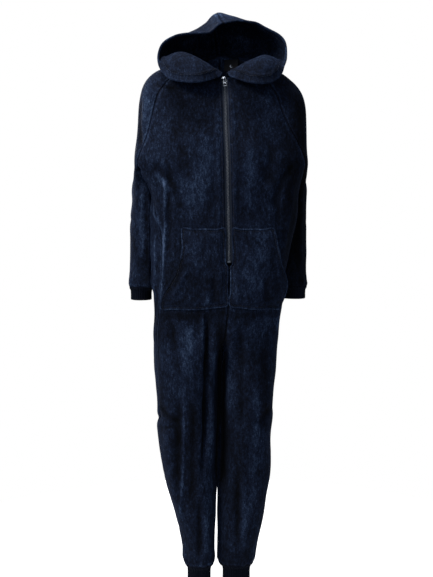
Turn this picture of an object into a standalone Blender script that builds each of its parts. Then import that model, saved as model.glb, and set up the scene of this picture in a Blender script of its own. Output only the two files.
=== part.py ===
"""Hooded onesie pajama in plush fleece: raglan sleeves, front zip, two-part kangaroo pocket, ribbed cuffs.

The garment hangs filled out, as when worn, with nobody in it. Metres, +Z up, front towards -Y.
The origin lies in the neck opening, level with the tops of the shoulders. "right" and "left" are
the wearer's: right is -X and left is +X. Each piece that a maker cuts is one object: a closed wall
whose outer skin is a grid worked out from the sections below.
"""
import math

import bmesh
import bpy
from mathutils import Matrix, Vector

# Cloth and seams
WALL = 0.0025                 # plush fleece, pile included
RIB_WALL = 0.0030             # rib knit of the cuffs
SEAM_GAP = 0.0003
HEM_WIDTH = 0.025             # turned hem of the hood, two layers thick
RAGLAN_TO_CUFF_ROWS = 8
SLEEVE_END = -0.606
WRIST_CUFF_HEIGHT = 0.037
ANKLE_CUFF_HEIGHT = 0.058
UNDERARM = -0.262             # level where each sleeve parts from the body
UNDERARM_ARCH = 0.026
CROTCH_DROP = 0.042           # how far the crotch hangs below the last body level
WRIST_DRAW_IN = 0.16          # how far a cuff gathers the cloth above it, as a share
ANKLE_DRAW_IN = 0.24

# Zip, slider and pull
ZIP_END = -0.532
ZIP_HALF_GAP = 0.0065         # between the centre line and each panel's edge
CHAIN_HALF_WIDTH = 0.0034
CHAIN_THICKNESS = 0.0020
TAPE_WIDTH = 0.014
TAPE_THICKNESS = 0.0009
STOP_HEIGHT = 0.006
SLIDER_LENGTH = 0.015
SLIDER_HALF_WIDTH = 0.0052
PLATE_THICKNESS = 0.0014
PIVOT_BELOW_TOP = 0.010       # slider's lug, measured down the zip from the neck seam
PULL_LENGTH = 0.030
PULL_HALF_WIDTH = 0.0058
PULL_THICKNESS = 0.0016

# Grid of the skin: number of facets across each stretch of a half section
FRONT_COLUMNS = 5             # centre front to raglan seam, and on down to the ankle
HEAD_COLUMNS = 6              # over the sleeve head, from front raglan seam to back
UNDER_COLUMNS = 4             # under the arm; the side seam runs down the middle one
BACK_COLUMNS = 4              # back raglan seam to centre back
INSEAM_COLUMNS = 2            # centre line to inseam, on the front and on the back
HOOD_ROWS = 8

NECK = {"half_width": 0.085, "front": 0.078, "back": 0.062,
        "front_z": -0.016, "side_z": 0.032, "back_z": 0.064}
SHOULDER_ROUND = {"right": 2.30, "left": 1.90}      # how square each shoulder stands
SHOULDER_STEPS = (0, 24, 45, 67, 90)                # degrees round the shoulder's turn
CHEST = -0.10                                       # level where the shoulder's turn ends

# Half widths to each side, depths to front and back, the widest line's depth, the centre line, the
# back's roundness, and how far along the half section, from front to back, the side seam lies.
BODY_COLUMNS = ("z", "right", "left", "front", "back", "widest", "centre", "back_round",
                "side_right", "side_left")
BODY = (
    (-0.100, 0.2375, 0.2425, 0.108, 0.104, -0.005, 0.001, 2.50, 0.50, 0.52),
    (-0.180, 0.2425, 0.2455, 0.124, 0.114, -0.010, 0.002, 2.40, 0.50, 0.52),
    (-0.262, 0.2490, 0.2465, 0.131, 0.114, -0.020, 0.004, 2.30, 0.50, 0.53),
    (-0.310, 0.2060, 0.2180, 0.131, 0.110, -0.050, 0.005, 1.42, 0.50, 0.54),
    (-0.390, 0.1980, 0.2140, 0.128, 0.104, -0.035, 0.007, 1.58, 0.42, 0.54),
    (-0.470, 0.1975, 0.1980, 0.124, 0.102, -0.030, 0.009, 1.75, 0.37, 0.54),
    (-0.560, 0.1970, 0.1825, 0.122, 0.106, -0.020, 0.010, 2.00, 0.37, 0.54),
    (-0.660, 0.1960, 0.1730, 0.120, 0.114, -0.010, 0.008, 2.20, 0.39, 0.54),
    (-0.748, 0.1945, 0.1650, 0.112, 0.116, -0.005, 0.000, 2.30, 0.43, 0.54),
)
FRONT_ROUND = 2.45
BODY_LEVELS = (-0.10, -0.14, -0.18, -0.22, -0.262,
               -0.300, -0.345, -0.390, -0.437, -0.485, -0.532, -0.540, -0.580, -0.620, -0.660, -0.704, -0.748)

# Raglan seams, as shares of the half section from centre front to centre back.
RAGLAN_COLUMNS = ("z", "front_right", "front_left", "back_right", "back_left")
RAGLAN = (
    (0.000, 0.30, 0.28, 0.74, 0.74),
    (-0.100, 0.345, 0.270, 0.76, 0.76),
    (-0.180, 0.375, 0.330, 0.74, 0.74),
    (-0.262, 0.430, 0.405, 0.71, 0.70),
)

# Centre and half sizes of each hanging sleeve.
SLEEVE_COLUMNS = ("z", "x", "y", "half_x", "half_y")
SLEEVE = {
    "right": (
        (-0.262, -0.2280, 0.055, 0.0290, 0.068),
        (-0.330, -0.2305, 0.056, 0.0270, 0.062),
        (-0.450, -0.2290, 0.048, 0.0340, 0.060),
        (-0.606, -0.2310, 0.036, 0.0360, 0.050),
    ),
    "left": (
        (-0.262, 0.2280, 0.060, 0.0280, 0.064),
        (-0.330, 0.2275, 0.064, 0.0300, 0.060),
        (-0.450, 0.2225, 0.066, 0.0380, 0.058),
        (-0.606, 0.2205, 0.052, 0.0400, 0.050),
    ),
}

# Outer and inner edge of each leg, and its depth to front and back of the mid line.
LEG_COLUMNS = ("z", "outer", "inner", "front", "back")
LEG = {
    "right": (
        (-0.748, -0.1945, 0.0000, 0.112, 0.116),
        (-0.840, -0.1910, -0.0022, 0.098, 0.100),
        (-0.960, -0.1820, -0.0052, 0.086, 0.086),
        (-1.030, -0.1850, -0.0082, 0.084, 0.080),
        (-1.160, -0.1665, -0.0132, 0.080, 0.072),
        (-1.315, -0.1260, -0.0185, 0.070, 0.064),
        (-1.415, -0.1110, -0.0215, 0.058, 0.056),
    ),
    "left": (
        (-0.748, 0.1650, 0.0000, 0.112, 0.116),
        (-0.840, 0.1570, 0.0002, 0.098, 0.100),
        (-0.960, 0.1480, -0.0028, 0.086, 0.086),
        (-1.030, 0.1450, -0.0058, 0.084, 0.080),
        (-1.160, 0.1420, -0.0105, 0.080, 0.072),
        (-1.315, 0.1150, -0.0128, 0.070, 0.064),
        (-1.415, 0.0960, -0.0115, 0.058, 0.056),
    ),
}
LEG_LEVELS = (-0.748, -0.822, -0.870, -0.920, -0.970, -1.020, -1.075, -1.130, -1.185, -1.240,
              -1.290, -1.335, -1.378, -1.415)
LEG_ROUND = 2.2

# Hood: points from the neck seam out to the rim, at shares of the half neck seam from the front.
HOOD_COLUMNS = ("share", "flare", "belly", "crown", "rim")
HOOD = {
    "right": (
        (0.00, (-0.0075, -0.085, -0.012), (-0.0085, -0.091, -0.010),
         (-0.010, -0.097, -0.013), (-0.012, -0.102, -0.020)),
        (0.22, (-0.055, -0.083, 0.018), (-0.064, -0.104, 0.020),
         (-0.074, -0.124, -0.006), (-0.082, -0.134, -0.044)),
        (0.44, (-0.102, -0.050, 0.042), (-0.124, -0.074, 0.046),
         (-0.144, -0.096, 0.020), (-0.157, -0.108, -0.028)),
        (0.62, (-0.122, 0.020, 0.050), (-0.158, 0.015, 0.046),
         (-0.180, -0.012, 0.038), (-0.185, -0.052, 0.036)),
        (0.82, (-0.088, 0.092, 0.062), (-0.132, 0.088, 0.068),
         (-0.156, 0.040, 0.090), (-0.150, -0.030, 0.100)),
        (1.00, (0.000, 0.125, 0.078), (-0.004, 0.155, 0.128),
         (-0.014, 0.100, 0.196), (0.002, -0.030, 0.160)),
    ),
    "left": (
        (0.00, (0.0075, -0.085, -0.012), (0.0085, -0.091, -0.010),
         (0.010, -0.097, -0.013), (0.012, -0.102, -0.020)),
        (0.22, (0.055, -0.083, 0.016), (0.064, -0.104, 0.018),
         (0.073, -0.124, -0.008), (0.078, -0.134, -0.044)),
        (0.44, (0.102, -0.050, 0.040), (0.122, -0.074, 0.044),
         (0.138, -0.096, 0.018), (0.143, -0.108, -0.027)),
        (0.62, (0.122, 0.020, 0.050), (0.156, 0.015, 0.046),
         (0.176, -0.012, 0.042), (0.179, -0.052, 0.048)),
        (0.82, (0.092, 0.095, 0.064), (0.140, 0.090, 0.074),
         (0.164, 0.040, 0.098), (0.156, -0.030, 0.114)),
        (1.00, (0.000, 0.125, 0.078), (-0.004, 0.155, 0.128),
         (-0.014, 0.100, 0.196), (0.002, -0.030, 0.160)),
    ),
}

# Pocket half: outer edge as a share of the front panel's columns, and how far it stands off.
POCKET_COLUMNS = ("z", "edge", "stand_off")
POCKET = {
    "right": ((-0.437, 4.35, 0.003), (-0.485, 4.45, 0.008), (-0.532, 4.75, 0.012), (-0.540, 4.80, 0.012),
              (-0.580, 5.30, 0.013), (-0.620, 6.20, 0.010), (-0.660, 6.60, 0.003)),
    "left": ((-0.437, 2.93, 0.003), (-0.485, 3.12, 0.009), (-0.532, 3.50, 0.013), (-0.540, 3.57, 0.013),
             (-0.580, 4.02, 0.014), (-0.620, 4.10, 0.011), (-0.660, 3.90, 0.004)),
}
POCKET_COLUMN_COUNT = 5
POCKET_GAP = 0.0020

# Largest folds: a grid column of a leg moved in (-) or out (+) between two levels.
FOLD_COLUMNS = ("side", "column", "top", "bottom", "depth")
FOLDS = (
    ("right", 1, -0.800, -1.200, -0.006),
    ("right", 2, -0.800, -1.150, 0.004),
    ("right", 4, -0.880, -1.330, 0.007),
    ("right", 9, -0.800, -1.250, -0.007),
    ("right", 11, -0.800, -1.300, -0.007),
    ("left", 3, -0.860, -1.300, -0.005),
    ("left", 8, -0.800, -1.250, 0.006),
    ("left", 10, -0.800, -1.300, -0.007),
)

LABEL = {"width": 0.040, "height": 0.034, "thickness": 0.0010, "x": 0.033}

COLOURS = {                   # linear base colour, roughness, metallic
    "plush": ((0.006, 0.010, 0.020), 0.95, 0.0),
    "rib": ((0.005, 0.008, 0.016), 0.9, 0.0),
    "tape": ((0.010, 0.013, 0.020), 0.8, 0.0),
    "metal": ((0.36, 0.37, 0.39), 0.35, 1.0),
    "label": ((0.008, 0.009, 0.012), 0.7, 0.0),
}
SIDES = {"right": -1.0, "left": 1.0}


def clear_scene():
    for thing in list(bpy.data.objects):
        bpy.data.objects.remove(thing, do_unlink=True)


def smooth_between(before, start, end, after, share):
    """Catmull-Rom step from start to end."""
    return 0.5 * (2 * start + (end - before) * share
                  + (2 * before - 5 * start + 4 * end - after) * share ** 2
                  + (3 * start - before - 3 * end + after) * share ** 3)


def read_table(columns, rows, at):
    """The row at a level, with each column carried smoothly between the rows given."""
    keys = [row[0] for row in rows]
    step = 1 if keys[-1] > keys[0] else -1
    at = min(max(at, min(keys)), max(keys))
    last = len(rows) - 2
    index = next((i for i in range(last + 1) if (at - keys[i + 1]) * step <= 0), last)
    share = (at - keys[index]) / (keys[index + 1] - keys[index])
    around = [rows[min(max(index + i, 0), len(rows) - 1)] for i in (-1, 0, 1, 2)]
    values = {columns[0]: at}
    for number, name in enumerate(columns[1:], start=1):
        cells = [row[number] for row in around]
        if isinstance(cells[0], tuple):
            cells = [Vector(cell) for cell in cells]
        values[name] = smooth_between(*cells, share)
    return values


def along(points, shares):
    """Points at shares of a polyline's length."""
    lengths = [0.0]
    for first, second in zip(points, points[1:]):
        lengths.append(lengths[-1] + (second - first).length)
    found = []
    for share in shares:
        target = share * lengths[-1]
        index = next((i for i in range(len(points) - 2) if lengths[i + 1] >= target), len(points) - 2)
        part = (target - lengths[index]) / (lengths[index + 1] - lengths[index])
        found.append(points[index].lerp(points[index + 1], part))
    return found


def spread(start, end, count):
    return [start + (end - start) * i / count for i in range(count + 1)]


def rounded(value, power):
    return math.copysign(abs(value) ** (2.0 / power), value)


def half_section(level, side):
    """Dense half section of the body at a level, centre front to centre back."""
    row = read_table(BODY_COLUMNS, BODY, level)
    reach = row[side] - SIDES[side] * row["centre"]
    points = []
    for step in range(73):
        turn = math.radians(step * 2.5)
        front = math.cos(turn) > 0
        power = FRONT_ROUND if front else row["back_round"]
        depth = row["front"] + row["widest"] if front else row["back"] - row["widest"]
        points.append(Vector((row["centre"] + SIDES[side] * reach * rounded(math.sin(turn), power),
                              row["widest"] - depth * rounded(math.cos(turn), power), level)))
    return points


def neck_section(side):
    """Dense half of the neck seam, centre front to centre back."""
    points = []
    for step in range(73):
        turn = math.radians(step * 2.5)
        front = math.cos(turn) > 0
        depth = NECK["front"] if front else NECK["back"]
        end_z = NECK["front_z"] if front else NECK["back_z"]
        points.append(Vector((SIDES[side] * NECK["half_width"] * math.sin(turn), -depth * math.cos(turn),
                              NECK["side_z"] + (end_z - NECK["side_z"]) * math.cos(turn) ** 2)))
    return points


def raglan_shares(level, side):
    row = read_table(RAGLAN_COLUMNS, RAGLAN, level)
    front, back = row["front_" + side], row["back_" + side]
    return (spread(0.0, front, FRONT_COLUMNS), spread(front, back, HEAD_COLUMNS),
            spread(back, 1.0, BACK_COLUMNS))


def side_shares(level, side):
    middle = read_table(BODY_COLUMNS, BODY, level)["side_" + side]
    return (spread(0.0, middle - 0.09, FRONT_COLUMNS), spread(middle - 0.09, middle + 0.09, UNDER_COLUMNS),
            spread(middle + 0.09, 1.0, BACK_COLUMNS))


def open_for_zip(points, side):
    """Moves a section's centre-front point aside, so that the zip fits between the panels."""
    first, second = points[0], points[1]
    points[0] = first.lerp(second, ZIP_HALF_GAP / (second - first).length)
    return points


def upper_rows(side):
    """Rows from the neck seam to the underarm, each as (front, sleeve head, back) points."""
    rows = []
    neck, chest = neck_section(side), half_section(CHEST, side)
    for degrees in SHOULDER_STEPS[:-1]:
        turn = math.radians(degrees)
        level = CHEST * degrees / 90
        parts = []
        for shares in raglan_shares(level, side):
            points = []
            for share, start, end in zip(shares, along(neck, shares), along(chest, shares)):
                swell = math.sin(math.pi * share) ** 2
                power = 1.15 + (SHOULDER_ROUND[side] - 1.15) * swell
                across, down = rounded(math.sin(turn), power), 1 - rounded(math.cos(turn), power)
                points.append(Vector((start.x + (end.x - start.x) * across,
                                      start.y + (end.y - start.y) * across,
                                      start.z + (end.z - start.z) * down)))
            parts.append(points)
        rows.append(parts)
    for level in BODY_LEVELS[:BODY_LEVELS.index(UNDERARM) + 1]:
        section = half_section(level, side)
        rows.append([along(section, shares) for shares in raglan_shares(level, side)])
    for parts in rows:
        parts[0] = open_for_zip(parts[0], side)
    return rows


def underarm_curve(front, back):
    """The underarm seam, from the front raglan seam's foot to the back one's."""
    points = []
    for share in spread(0.0, 1.0, UNDER_COLUMNS):
        arch = math.sin(math.pi * share)
        point = front.lerp(back, share)
        points.append(point + Vector((0.0, 0.0, UNDERARM_ARCH * arch)))
    return points


def body_rows(side, top):
    """Rows from the underarm to the crotch, each as (front, under arm, back) points."""
    front, head, back = top
    rows = [[front, underarm_curve(front[-1], back[0]), back]]
    for level in BODY_LEVELS[BODY_LEVELS.index(UNDERARM) + 1:]:
        section = half_section(level, side)
        parts = [along(section, shares) for shares in side_shares(level, side)]
        if level >= ZIP_END:
            parts[0] = open_for_zip(parts[0], side)
        rows.append(parts)
    return rows


def crotch_curve(front, back):
    """Points from centre front under the crotch to centre back."""
    points = []
    for share in spread(0.0, 1.0, 2 * INSEAM_COLUMNS):
        point = front.lerp(back, share)
        points.append(point + Vector((0.0, 0.0, -CROTCH_DROP * math.sin(math.pi * share) ** 0.7)))
    return points


def leg_rows(side, top):
    """Rows from the crotch to the ankle, each as (front, side, back, inner back to front) points."""
    front, under, back = top
    under_crotch = crotch_curve(front[0], back[-1])
    rows = [[front, under, back, under_crotch[::-1]]]
    for level in LEG_LEVELS[1:]:
        row = read_table(LEG_COLUMNS, LEG[side], level)
        middle = (row["outer"] + row["inner"]) / 2
        reach = abs(row["outer"] - row["inner"]) / 2
        done = (level - LEG_LEVELS[0]) / (LEG_LEVELS[-1] - LEG_LEVELS[0])
        corner = 40 + 18 * done                          # degrees from straight ahead to the inner corner
        seam = read_table(BODY_COLUMNS, BODY, level)["side_" + side]
        seam += (0.5 - seam) * min(1.0, 2.5 * done)      # the side seam moves round to the side
        shares = (spread(0.0, seam - 0.09, FRONT_COLUMNS), spread(seam - 0.09, seam + 0.09, UNDER_COLUMNS),
                  spread(seam + 0.09, 1.0, BACK_COLUMNS))
        turns = [[-corner + (180 + 2 * corner) * share for share in part] for part in shares]
        turns.append(spread(180 + corner, 360 - corner, 2 * INSEAM_COLUMNS))
        parts = []
        for part in turns:
            points = []
            for degrees in part:
                turn = math.radians(degrees)
                depth = row["front"] if math.cos(turn) > 0 else row["back"]
                points.append(Vector((middle + SIDES[side] * reach * rounded(math.sin(turn), LEG_ROUND),
                                      -depth * rounded(math.cos(turn), LEG_ROUND), level)))
            parts.append(points)
        rows.append(parts)
    return rows


def sleeve_rows(side, head, under):
    """Rows from the underarm to the wrist, each as (outer, inner) points."""
    rows = [[head, under]]
    for level in spread(UNDERARM, SLEEVE_END, RAGLAN_TO_CUFF_ROWS)[1:]:
        row = read_table(SLEEVE_COLUMNS, SLEEVE[side], level)
        parts = []
        for part in (spread(10, 190, HEAD_COLUMNS), spread(370, 190, UNDER_COLUMNS)):
            parts.append([Vector((row["x"] + SIDES[side] * row["half_x"] * math.sin(math.radians(turn)),
                                  row["y"] - row["half_y"] * math.cos(math.radians(turn)), level))
                          for turn in part])
        rows.append(parts)
    return rows


def fold_legs(rows, side):
    """Moves whole grid columns of a leg in or out, fading at both ends of each fold."""
    for fold_side, column, top, bottom, depth in FOLDS:
        if fold_side != side:
            continue
        for parts in rows[1:]:
            level = parts[0][0].z
            if not bottom < level < top:
                continue
            strength = math.sin(math.pi * (top - level) / (top - bottom))
            middle = sum((sum(part, Vector()) for part in parts), Vector()) / sum(len(part) for part in parts)
            line = column if column <= FRONT_COLUMNS else column - FRONT_COLUMNS
            part = parts[0]
            if column > FRONT_COLUMNS:
                part, line = (parts[1], line) if line <= UNDER_COLUMNS else (parts[2], line - UNDER_COLUMNS)
            outwards = (part[line] - middle).normalized()
            part[line] += outwards * depth * strength
    return rows


def join_corners(rows):
    """Makes the parts of each row share the points where they meet."""
    for parts in rows:
        for before, after in zip(parts, parts[1:]):
            after[0] = before[-1]
        if len(parts) == 4:
            parts[3][-1] = parts[0][0]
    return rows


def hood_rows(side, neck_row):
    """Rows from the neck seam to the rim; the last one is as wide as the turned hem."""
    shares_by_part = raglan_shares(0.0, side)
    shares = shares_by_part[0] + shares_by_part[1][1:] + shares_by_part[2][1:]
    columns = []
    for share, start in zip(shares, neck_row):
        row = read_table(HOOD_COLUMNS, HOOD[side], share)
        knots = [start] + [row[name] for name in HOOD_COLUMNS[1:]]
        dense = []
        for index in range(len(knots) - 1):
            around = [knots[min(max(index + i, 0), len(knots) - 1)] for i in (-1, 0, 1, 2)]
            dense += [smooth_between(*around, part / 12) for part in range(12)]
        dense.append(knots[-1])
        length = sum((b - a).length for a, b in zip(dense, dense[1:]))
        hem = min(HEM_WIDTH, 0.3 * length) / length
        columns.append(along(dense, spread(0.0, 1.0 - hem, HOOD_ROWS - 1) + [1.0]))
    return [[column[i] for column in columns] for i in range(HOOD_ROWS + 1)]


def patch(rows, start=None, end=None):
    """Quads between neighbouring rows of points; start and end pick columns."""
    quads = []
    for upper, lower in zip(rows, rows[1:]):
        upper, lower = upper[start:end], lower[start:end]
        for i in range(len(upper) - 1):
            quads.append((upper[i], upper[i + 1], lower[i + 1], lower[i]))
    return quads


def facing(quads, side):
    """Quads turned so that they face outwards on either side."""
    return [quad[::-1] for quad in quads] if side == "left" else quads


def key(point):
    return tuple(round(value, 6) for value in point)


def face_normal(quad):
    return (quad[2] - quad[0]).cross(quad[3] - quad[1]).normalized()


def normals_at(skin):
    """Every face met at each point of the whole garment, as its normal and its piece."""
    met = {}
    for piece, quads in skin.items():
        for quad in quads:
            face = (face_normal(quad), piece)
            for point in quad:
                met.setdefault(key(point), []).append(face)
    return met


def shared_normal(piece, place, met):
    """Normal of a piece at a point, shared with its neighbours except across a deep crease."""
    groups = []
    for face in met[key(place)]:
        linked = [group for group in groups if any(face[0].dot(other[0]) > 0.35 for other in group)]
        groups = [group for group in groups if group not in linked]
        groups.append([face] + [other for group in linked for other in group])
    total = Vector()
    for group in groups:
        if any(other[1] == piece for other in group):
            total += sum((other[0] for other in group), Vector()).normalized()
    return total.normalized()


def wall(name, quads, met, thickness, slot, outwards=0.0):
    """One closed piece: its outer skin, the same skin moved in, and rims between them.

    thickness is a number, or a function of a point. The edges are drawn in by half a seam gap."""
    points, faces = {}, []
    for quad in quads:
        faces.append([points.setdefault(key(point), (len(points), point))[0] for point in quad])
    places = [point for index, point in sorted(points.values(), key=lambda item: item[0])]
    edges = {}
    for face, quad in zip(faces, quads):
        for i, corner in enumerate(face):
            edges[corner, face[(i + 1) % 4]] = sum(quad, Vector()) / 4
    border = [edge for edge in edges if edge[::-1] not in edges]
    pulls = {}
    for first, second in border:
        run = (places[second] - places[first]).normalized()
        inwards = edges[first, second] - places[first]
        inwards = (inwards - run * inwards.dot(run)).normalized()
        pulls.setdefault(first, []).append(inwards)
        pulls.setdefault(second, []).append(inwards)
    outer, inner = [], []
    for index, place in enumerate(places):
        normal = shared_normal(name, place, met)
        if index in pulls:
            pull = sum(pulls[index], Vector()).normalized()
            place = place + pull * SEAM_GAP * 0.6 / max(0.4, pull.dot(pulls[index][0]))
        depth = thickness(place) if callable(thickness) else thickness
        outer.append(place + normal * outwards)
        inner.append(place + normal * (outwards - depth))
    mesh = bmesh.new()
    skin = [mesh.verts.new(point) for point in outer]
    lining = [mesh.verts.new(point) for point in inner]
    for face in faces:
        mesh.faces.new([skin[i] for i in face])
        mesh.faces.new([lining[i] for i in reversed(face)])
    for first, second in border:                         # neighbours split their rims the same way
        if key(places[first]) < key(places[second]):
            mesh.faces.new((skin[second], skin[first], lining[second]))
            mesh.faces.new((lining[second], skin[first], lining[first]))
        else:
            mesh.faces.new((skin[second], skin[first], lining[first]))
            mesh.faces.new((skin[second], lining[first], lining[second]))
    return add_object(name, mesh, slot)


def add_object(name, mesh, slot, smooth=True):
    bmesh.ops.recalc_face_normals(mesh, faces=mesh.faces)
    data = bpy.data.meshes.new(name)
    mesh.to_mesh(data)
    mesh.free()
    if smooth:
        data.shade_smooth()
        data.set_sharp_from_angle(angle=math.radians(50))
    thing = bpy.data.objects.new(name, data)
    bpy.context.scene.collection.objects.link(thing)
    data.materials.append(MATERIALS[slot])
    return thing


def make_material(name, colour, roughness, metallic):
    material = bpy.data.materials.new(name)
    material.use_nodes = True
    shader = next(node for node in material.node_tree.nodes if node.type == "BSDF_PRINCIPLED")
    shader.inputs["Base Color"].default_value = (*colour, 1.0)
    shader.inputs["Roughness"].default_value = roughness
    shader.inputs["Metallic"].default_value = metallic
    return material


def cuff_rows(ring, height, draw_in):
    """A ribbed tube below a ring of points, drawn in towards the ring's middle."""
    middle = sum(ring[:-1], Vector()) / (len(ring) - 1)
    rows = []
    for down, scale in ((0.0, 1.0), (0.25, 1 - draw_in), (1.0, 1 - draw_in * 1.1)):
        rows.append([Vector((middle.x + (point.x - middle.x) * scale,
                             middle.y + (point.y - middle.y) * scale,
                             point.z - height * down)) for point in ring])
    return rows


def on_grid(rows, row, column):
    """A point on the front panel's grid, between two columns."""
    points = rows[row]
    low = min(int(column), len(points) - 2)
    return points[low].lerp(points[low + 1], column - low)


def make_pocket(side, rows):
    """Pocket half, made from the front panel's points between its top and bottom edge."""
    panel = [parts[0] + parts[1][1:] for parts in rows]
    grid = []
    for number, (level, edge, rise) in enumerate(POCKET[side]):
        row = BODY_LEVELS.index(level) - BODY_LEVELS.index(UNDERARM)
        line = []
        for share in spread(0.0, 1.0, POCKET_COLUMN_COUNT):
            column = edge * share
            place = on_grid(panel, row, column)
            across = on_grid(panel, row, column + 0.2) - place
            down = on_grid(panel, row + 1, column) - on_grid(panel, row - 1, column)
            normal = down.cross(across).normalized() * SIDES[side]
            swell = math.sin(math.pi * min(1.0, 0.15 + share)) if number in (0, len(POCKET[side]) - 1) else 1.0
            rise_here = rise * (0.25 + 0.75 * share) * swell
            line.append(place + normal * (POCKET_GAP + WALL + rise_here))
        line[0] += (line[1] - line[0]).normalized() * 0.0015
        grid.append(line)
    quads = facing(patch(grid), side)
    wall("pocket_" + side, quads, normals_at({"pocket_" + side: quads}), WALL, "plush")


def strip(name, centres, normals, low, high, front, back, slot):
    """A flat strip down the zip, between two side distances and two depths."""
    mesh = bmesh.new()
    rings = []
    for number, (centre, normal) in enumerate(zip(centres, normals)):
        start = low[number] if isinstance(low, list) else low
        corners = ((start, front), (high, front), (high, back), (start, back))
        rings.append([mesh.verts.new(centre + Vector((x, 0.0, 0.0)) - normal * depth)
                      for x, depth in corners])
    for upper, lower in zip(rings, rings[1:]):
        for i in range(4):
            mesh.faces.new((upper[i], upper[(i + 1) % 4], lower[(i + 1) % 4], lower[i]))
    mesh.faces.new(rings[0])
    mesh.faces.new(rings[-1][::-1])
    return add_object(name, mesh, slot, smooth=False)


def zip_line(panel_rows):
    """Centre line of the zip and its normals, from the neck seam down."""
    centres = []
    for right, left in zip(panel_rows["right"], panel_rows["left"]):
        centres.append((right[0][0] + left[0][0]) / 2)
    centres = [point for point in centres if point.z > ZIP_END - 0.001]
    normals = []
    for number in range(len(centres)):
        down = centres[min(number + 1, len(centres) - 1)] - centres[max(number - 1, 0)]
        normals.append(Vector((0.0, down.z, -down.y)).normalized())
    return centres, normals


def box(mesh, size, place):
    """Adds a box of a size, centred on a place, to a bmesh."""
    bmesh.ops.create_cube(mesh, size=1.0, matrix=Matrix.Translation(place) @ Matrix.Diagonal((*size, 1.0)))


def union(thing, others):
    for other in others:
        step = thing.modifiers.new("join", "BOOLEAN")
        step.operation = "UNION"
        step.object = other
        other.hide_render = True
        other.display_type = "WIRE"


def zip_frame(centres, normals):
    """Axes at the slider: x across, y out of the cloth, z up the zip."""
    across, up = Vector((1.0, 0.0, 0.0)), (centres[0] - centres[1]).normalized()
    out = across.cross(up).normalized()
    out *= math.copysign(1.0, out.dot(normals[0]))
    turn = Matrix((across, out, up)).transposed().to_4x4()
    return Matrix.Translation(centres[0]) @ turn


def make_slider(frame):
    """Slider: front and back plates, the wedge between them and the lug that holds the pull."""
    front = 0.0004 + PLATE_THICKNESS / 2
    behind = -(WALL + TAPE_THICKNESS + 0.0012 + PLATE_THICKNESS / 2)
    middle = -PIVOT_BELOW_TOP
    mesh = bmesh.new()
    box(mesh, (2 * SLIDER_HALF_WIDTH, PLATE_THICKNESS, SLIDER_LENGTH), (0, front, middle))
    bmesh.ops.bevel(mesh, geom=[edge for edge in mesh.edges], offset=0.0004, segments=1,
                    affect="EDGES", profile=0.5)
    bmesh.ops.transform(mesh, matrix=frame, verts=mesh.verts)
    slider = add_object("zip_slider", mesh, "metal", smooth=False)
    parts = {
        "slider_back_plate": ((2 * SLIDER_HALF_WIDTH, PLATE_THICKNESS, SLIDER_LENGTH), (0, behind, middle)),
        "slider_wedge": ((0.0022, front - behind, 0.0045), (0, (front + behind) / 2, middle + 0.0050)),
        "slider_lug_foot": ((0.0022, 0.0050, 0.0014), (0, front + 0.0024, middle - 0.0034)),
        "slider_lug_head": ((0.0022, 0.0050, 0.0014), (0, front + 0.0024, middle + 0.0034)),
        "slider_lug_bridge": ((0.0022, 0.0012, 0.0082), (0, front + 0.0052, middle)),
    }
    others = []
    for name, (size, place) in parts.items():
        mesh = bmesh.new()
        box(mesh, size, place)
        bmesh.ops.transform(mesh, matrix=frame, verts=mesh.verts)
        others.append(add_object(name, mesh, "metal", smooth=False))
    union(slider, others)
    return frame @ Vector((0, front + 0.0026, middle))


def make_pull_tab(frame, pivot):
    """Pull tab: a bar through the slider's lug, a long loop and a plate with a square window."""
    inward = frame.inverted() @ pivot
    half, thick = PULL_HALF_WIDTH, PULL_THICKNESS
    rows = (                                             # distance below the pivot, half width, half window
        (-0.0008, half - 0.0016, 0.0),
        (0.0008, half - 0.0010, half - 0.0030),
        (0.0120, half - 0.0008, half - 0.0028),
        (0.0136, half - 0.0002, 0.0),
        (0.0165, half, 0.0),
        (0.0166, half, half - 0.0026),
        (0.0235, half, half - 0.0026),
        (0.0236, half, 0.0),
        (PULL_LENGTH - 0.0030, half - 0.0010, 0.0),
    )
    mesh = bmesh.new()
    outline = [(x, -down) for down, x, window in rows]
    corners = outline + [(-x, z) for x, z in reversed(outline)]
    face = mesh.faces.new([mesh.verts.new((x, inward.y - thick / 2, inward.z + z)) for x, z in corners])
    solid = bmesh.ops.extrude_face_region(mesh, geom=[face])
    moved = [item for item in solid["geom"] if isinstance(item, bmesh.types.BMVert)]
    bmesh.ops.translate(mesh, verts=moved, vec=(0.0, thick, 0.0))
    bmesh.ops.transform(mesh, matrix=frame, verts=mesh.verts)
    tab = add_object("zip_pull_tab", mesh, "metal", smooth=False)
    windows = {"loop_window": (0.0008, 0.0124, half - 0.0030), "plate_window": (0.0166, 0.0236, half - 0.0026)}
    for name, (top, bottom, x) in windows.items():
        mesh = bmesh.new()
        box(mesh, (2 * x, thick * 3, bottom - top), (0, inward.y, inward.z - (top + bottom) / 2))
        bmesh.ops.transform(mesh, matrix=frame, verts=mesh.verts)
        cutter = add_object(name, mesh, "metal", smooth=False)
        cutter.hide_render = True
        cutter.display_type = "WIRE"
        step = tab.modifiers.new("window", "BOOLEAN")
        step.operation = "DIFFERENCE"
        step.object = cutter
    return tab


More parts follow.
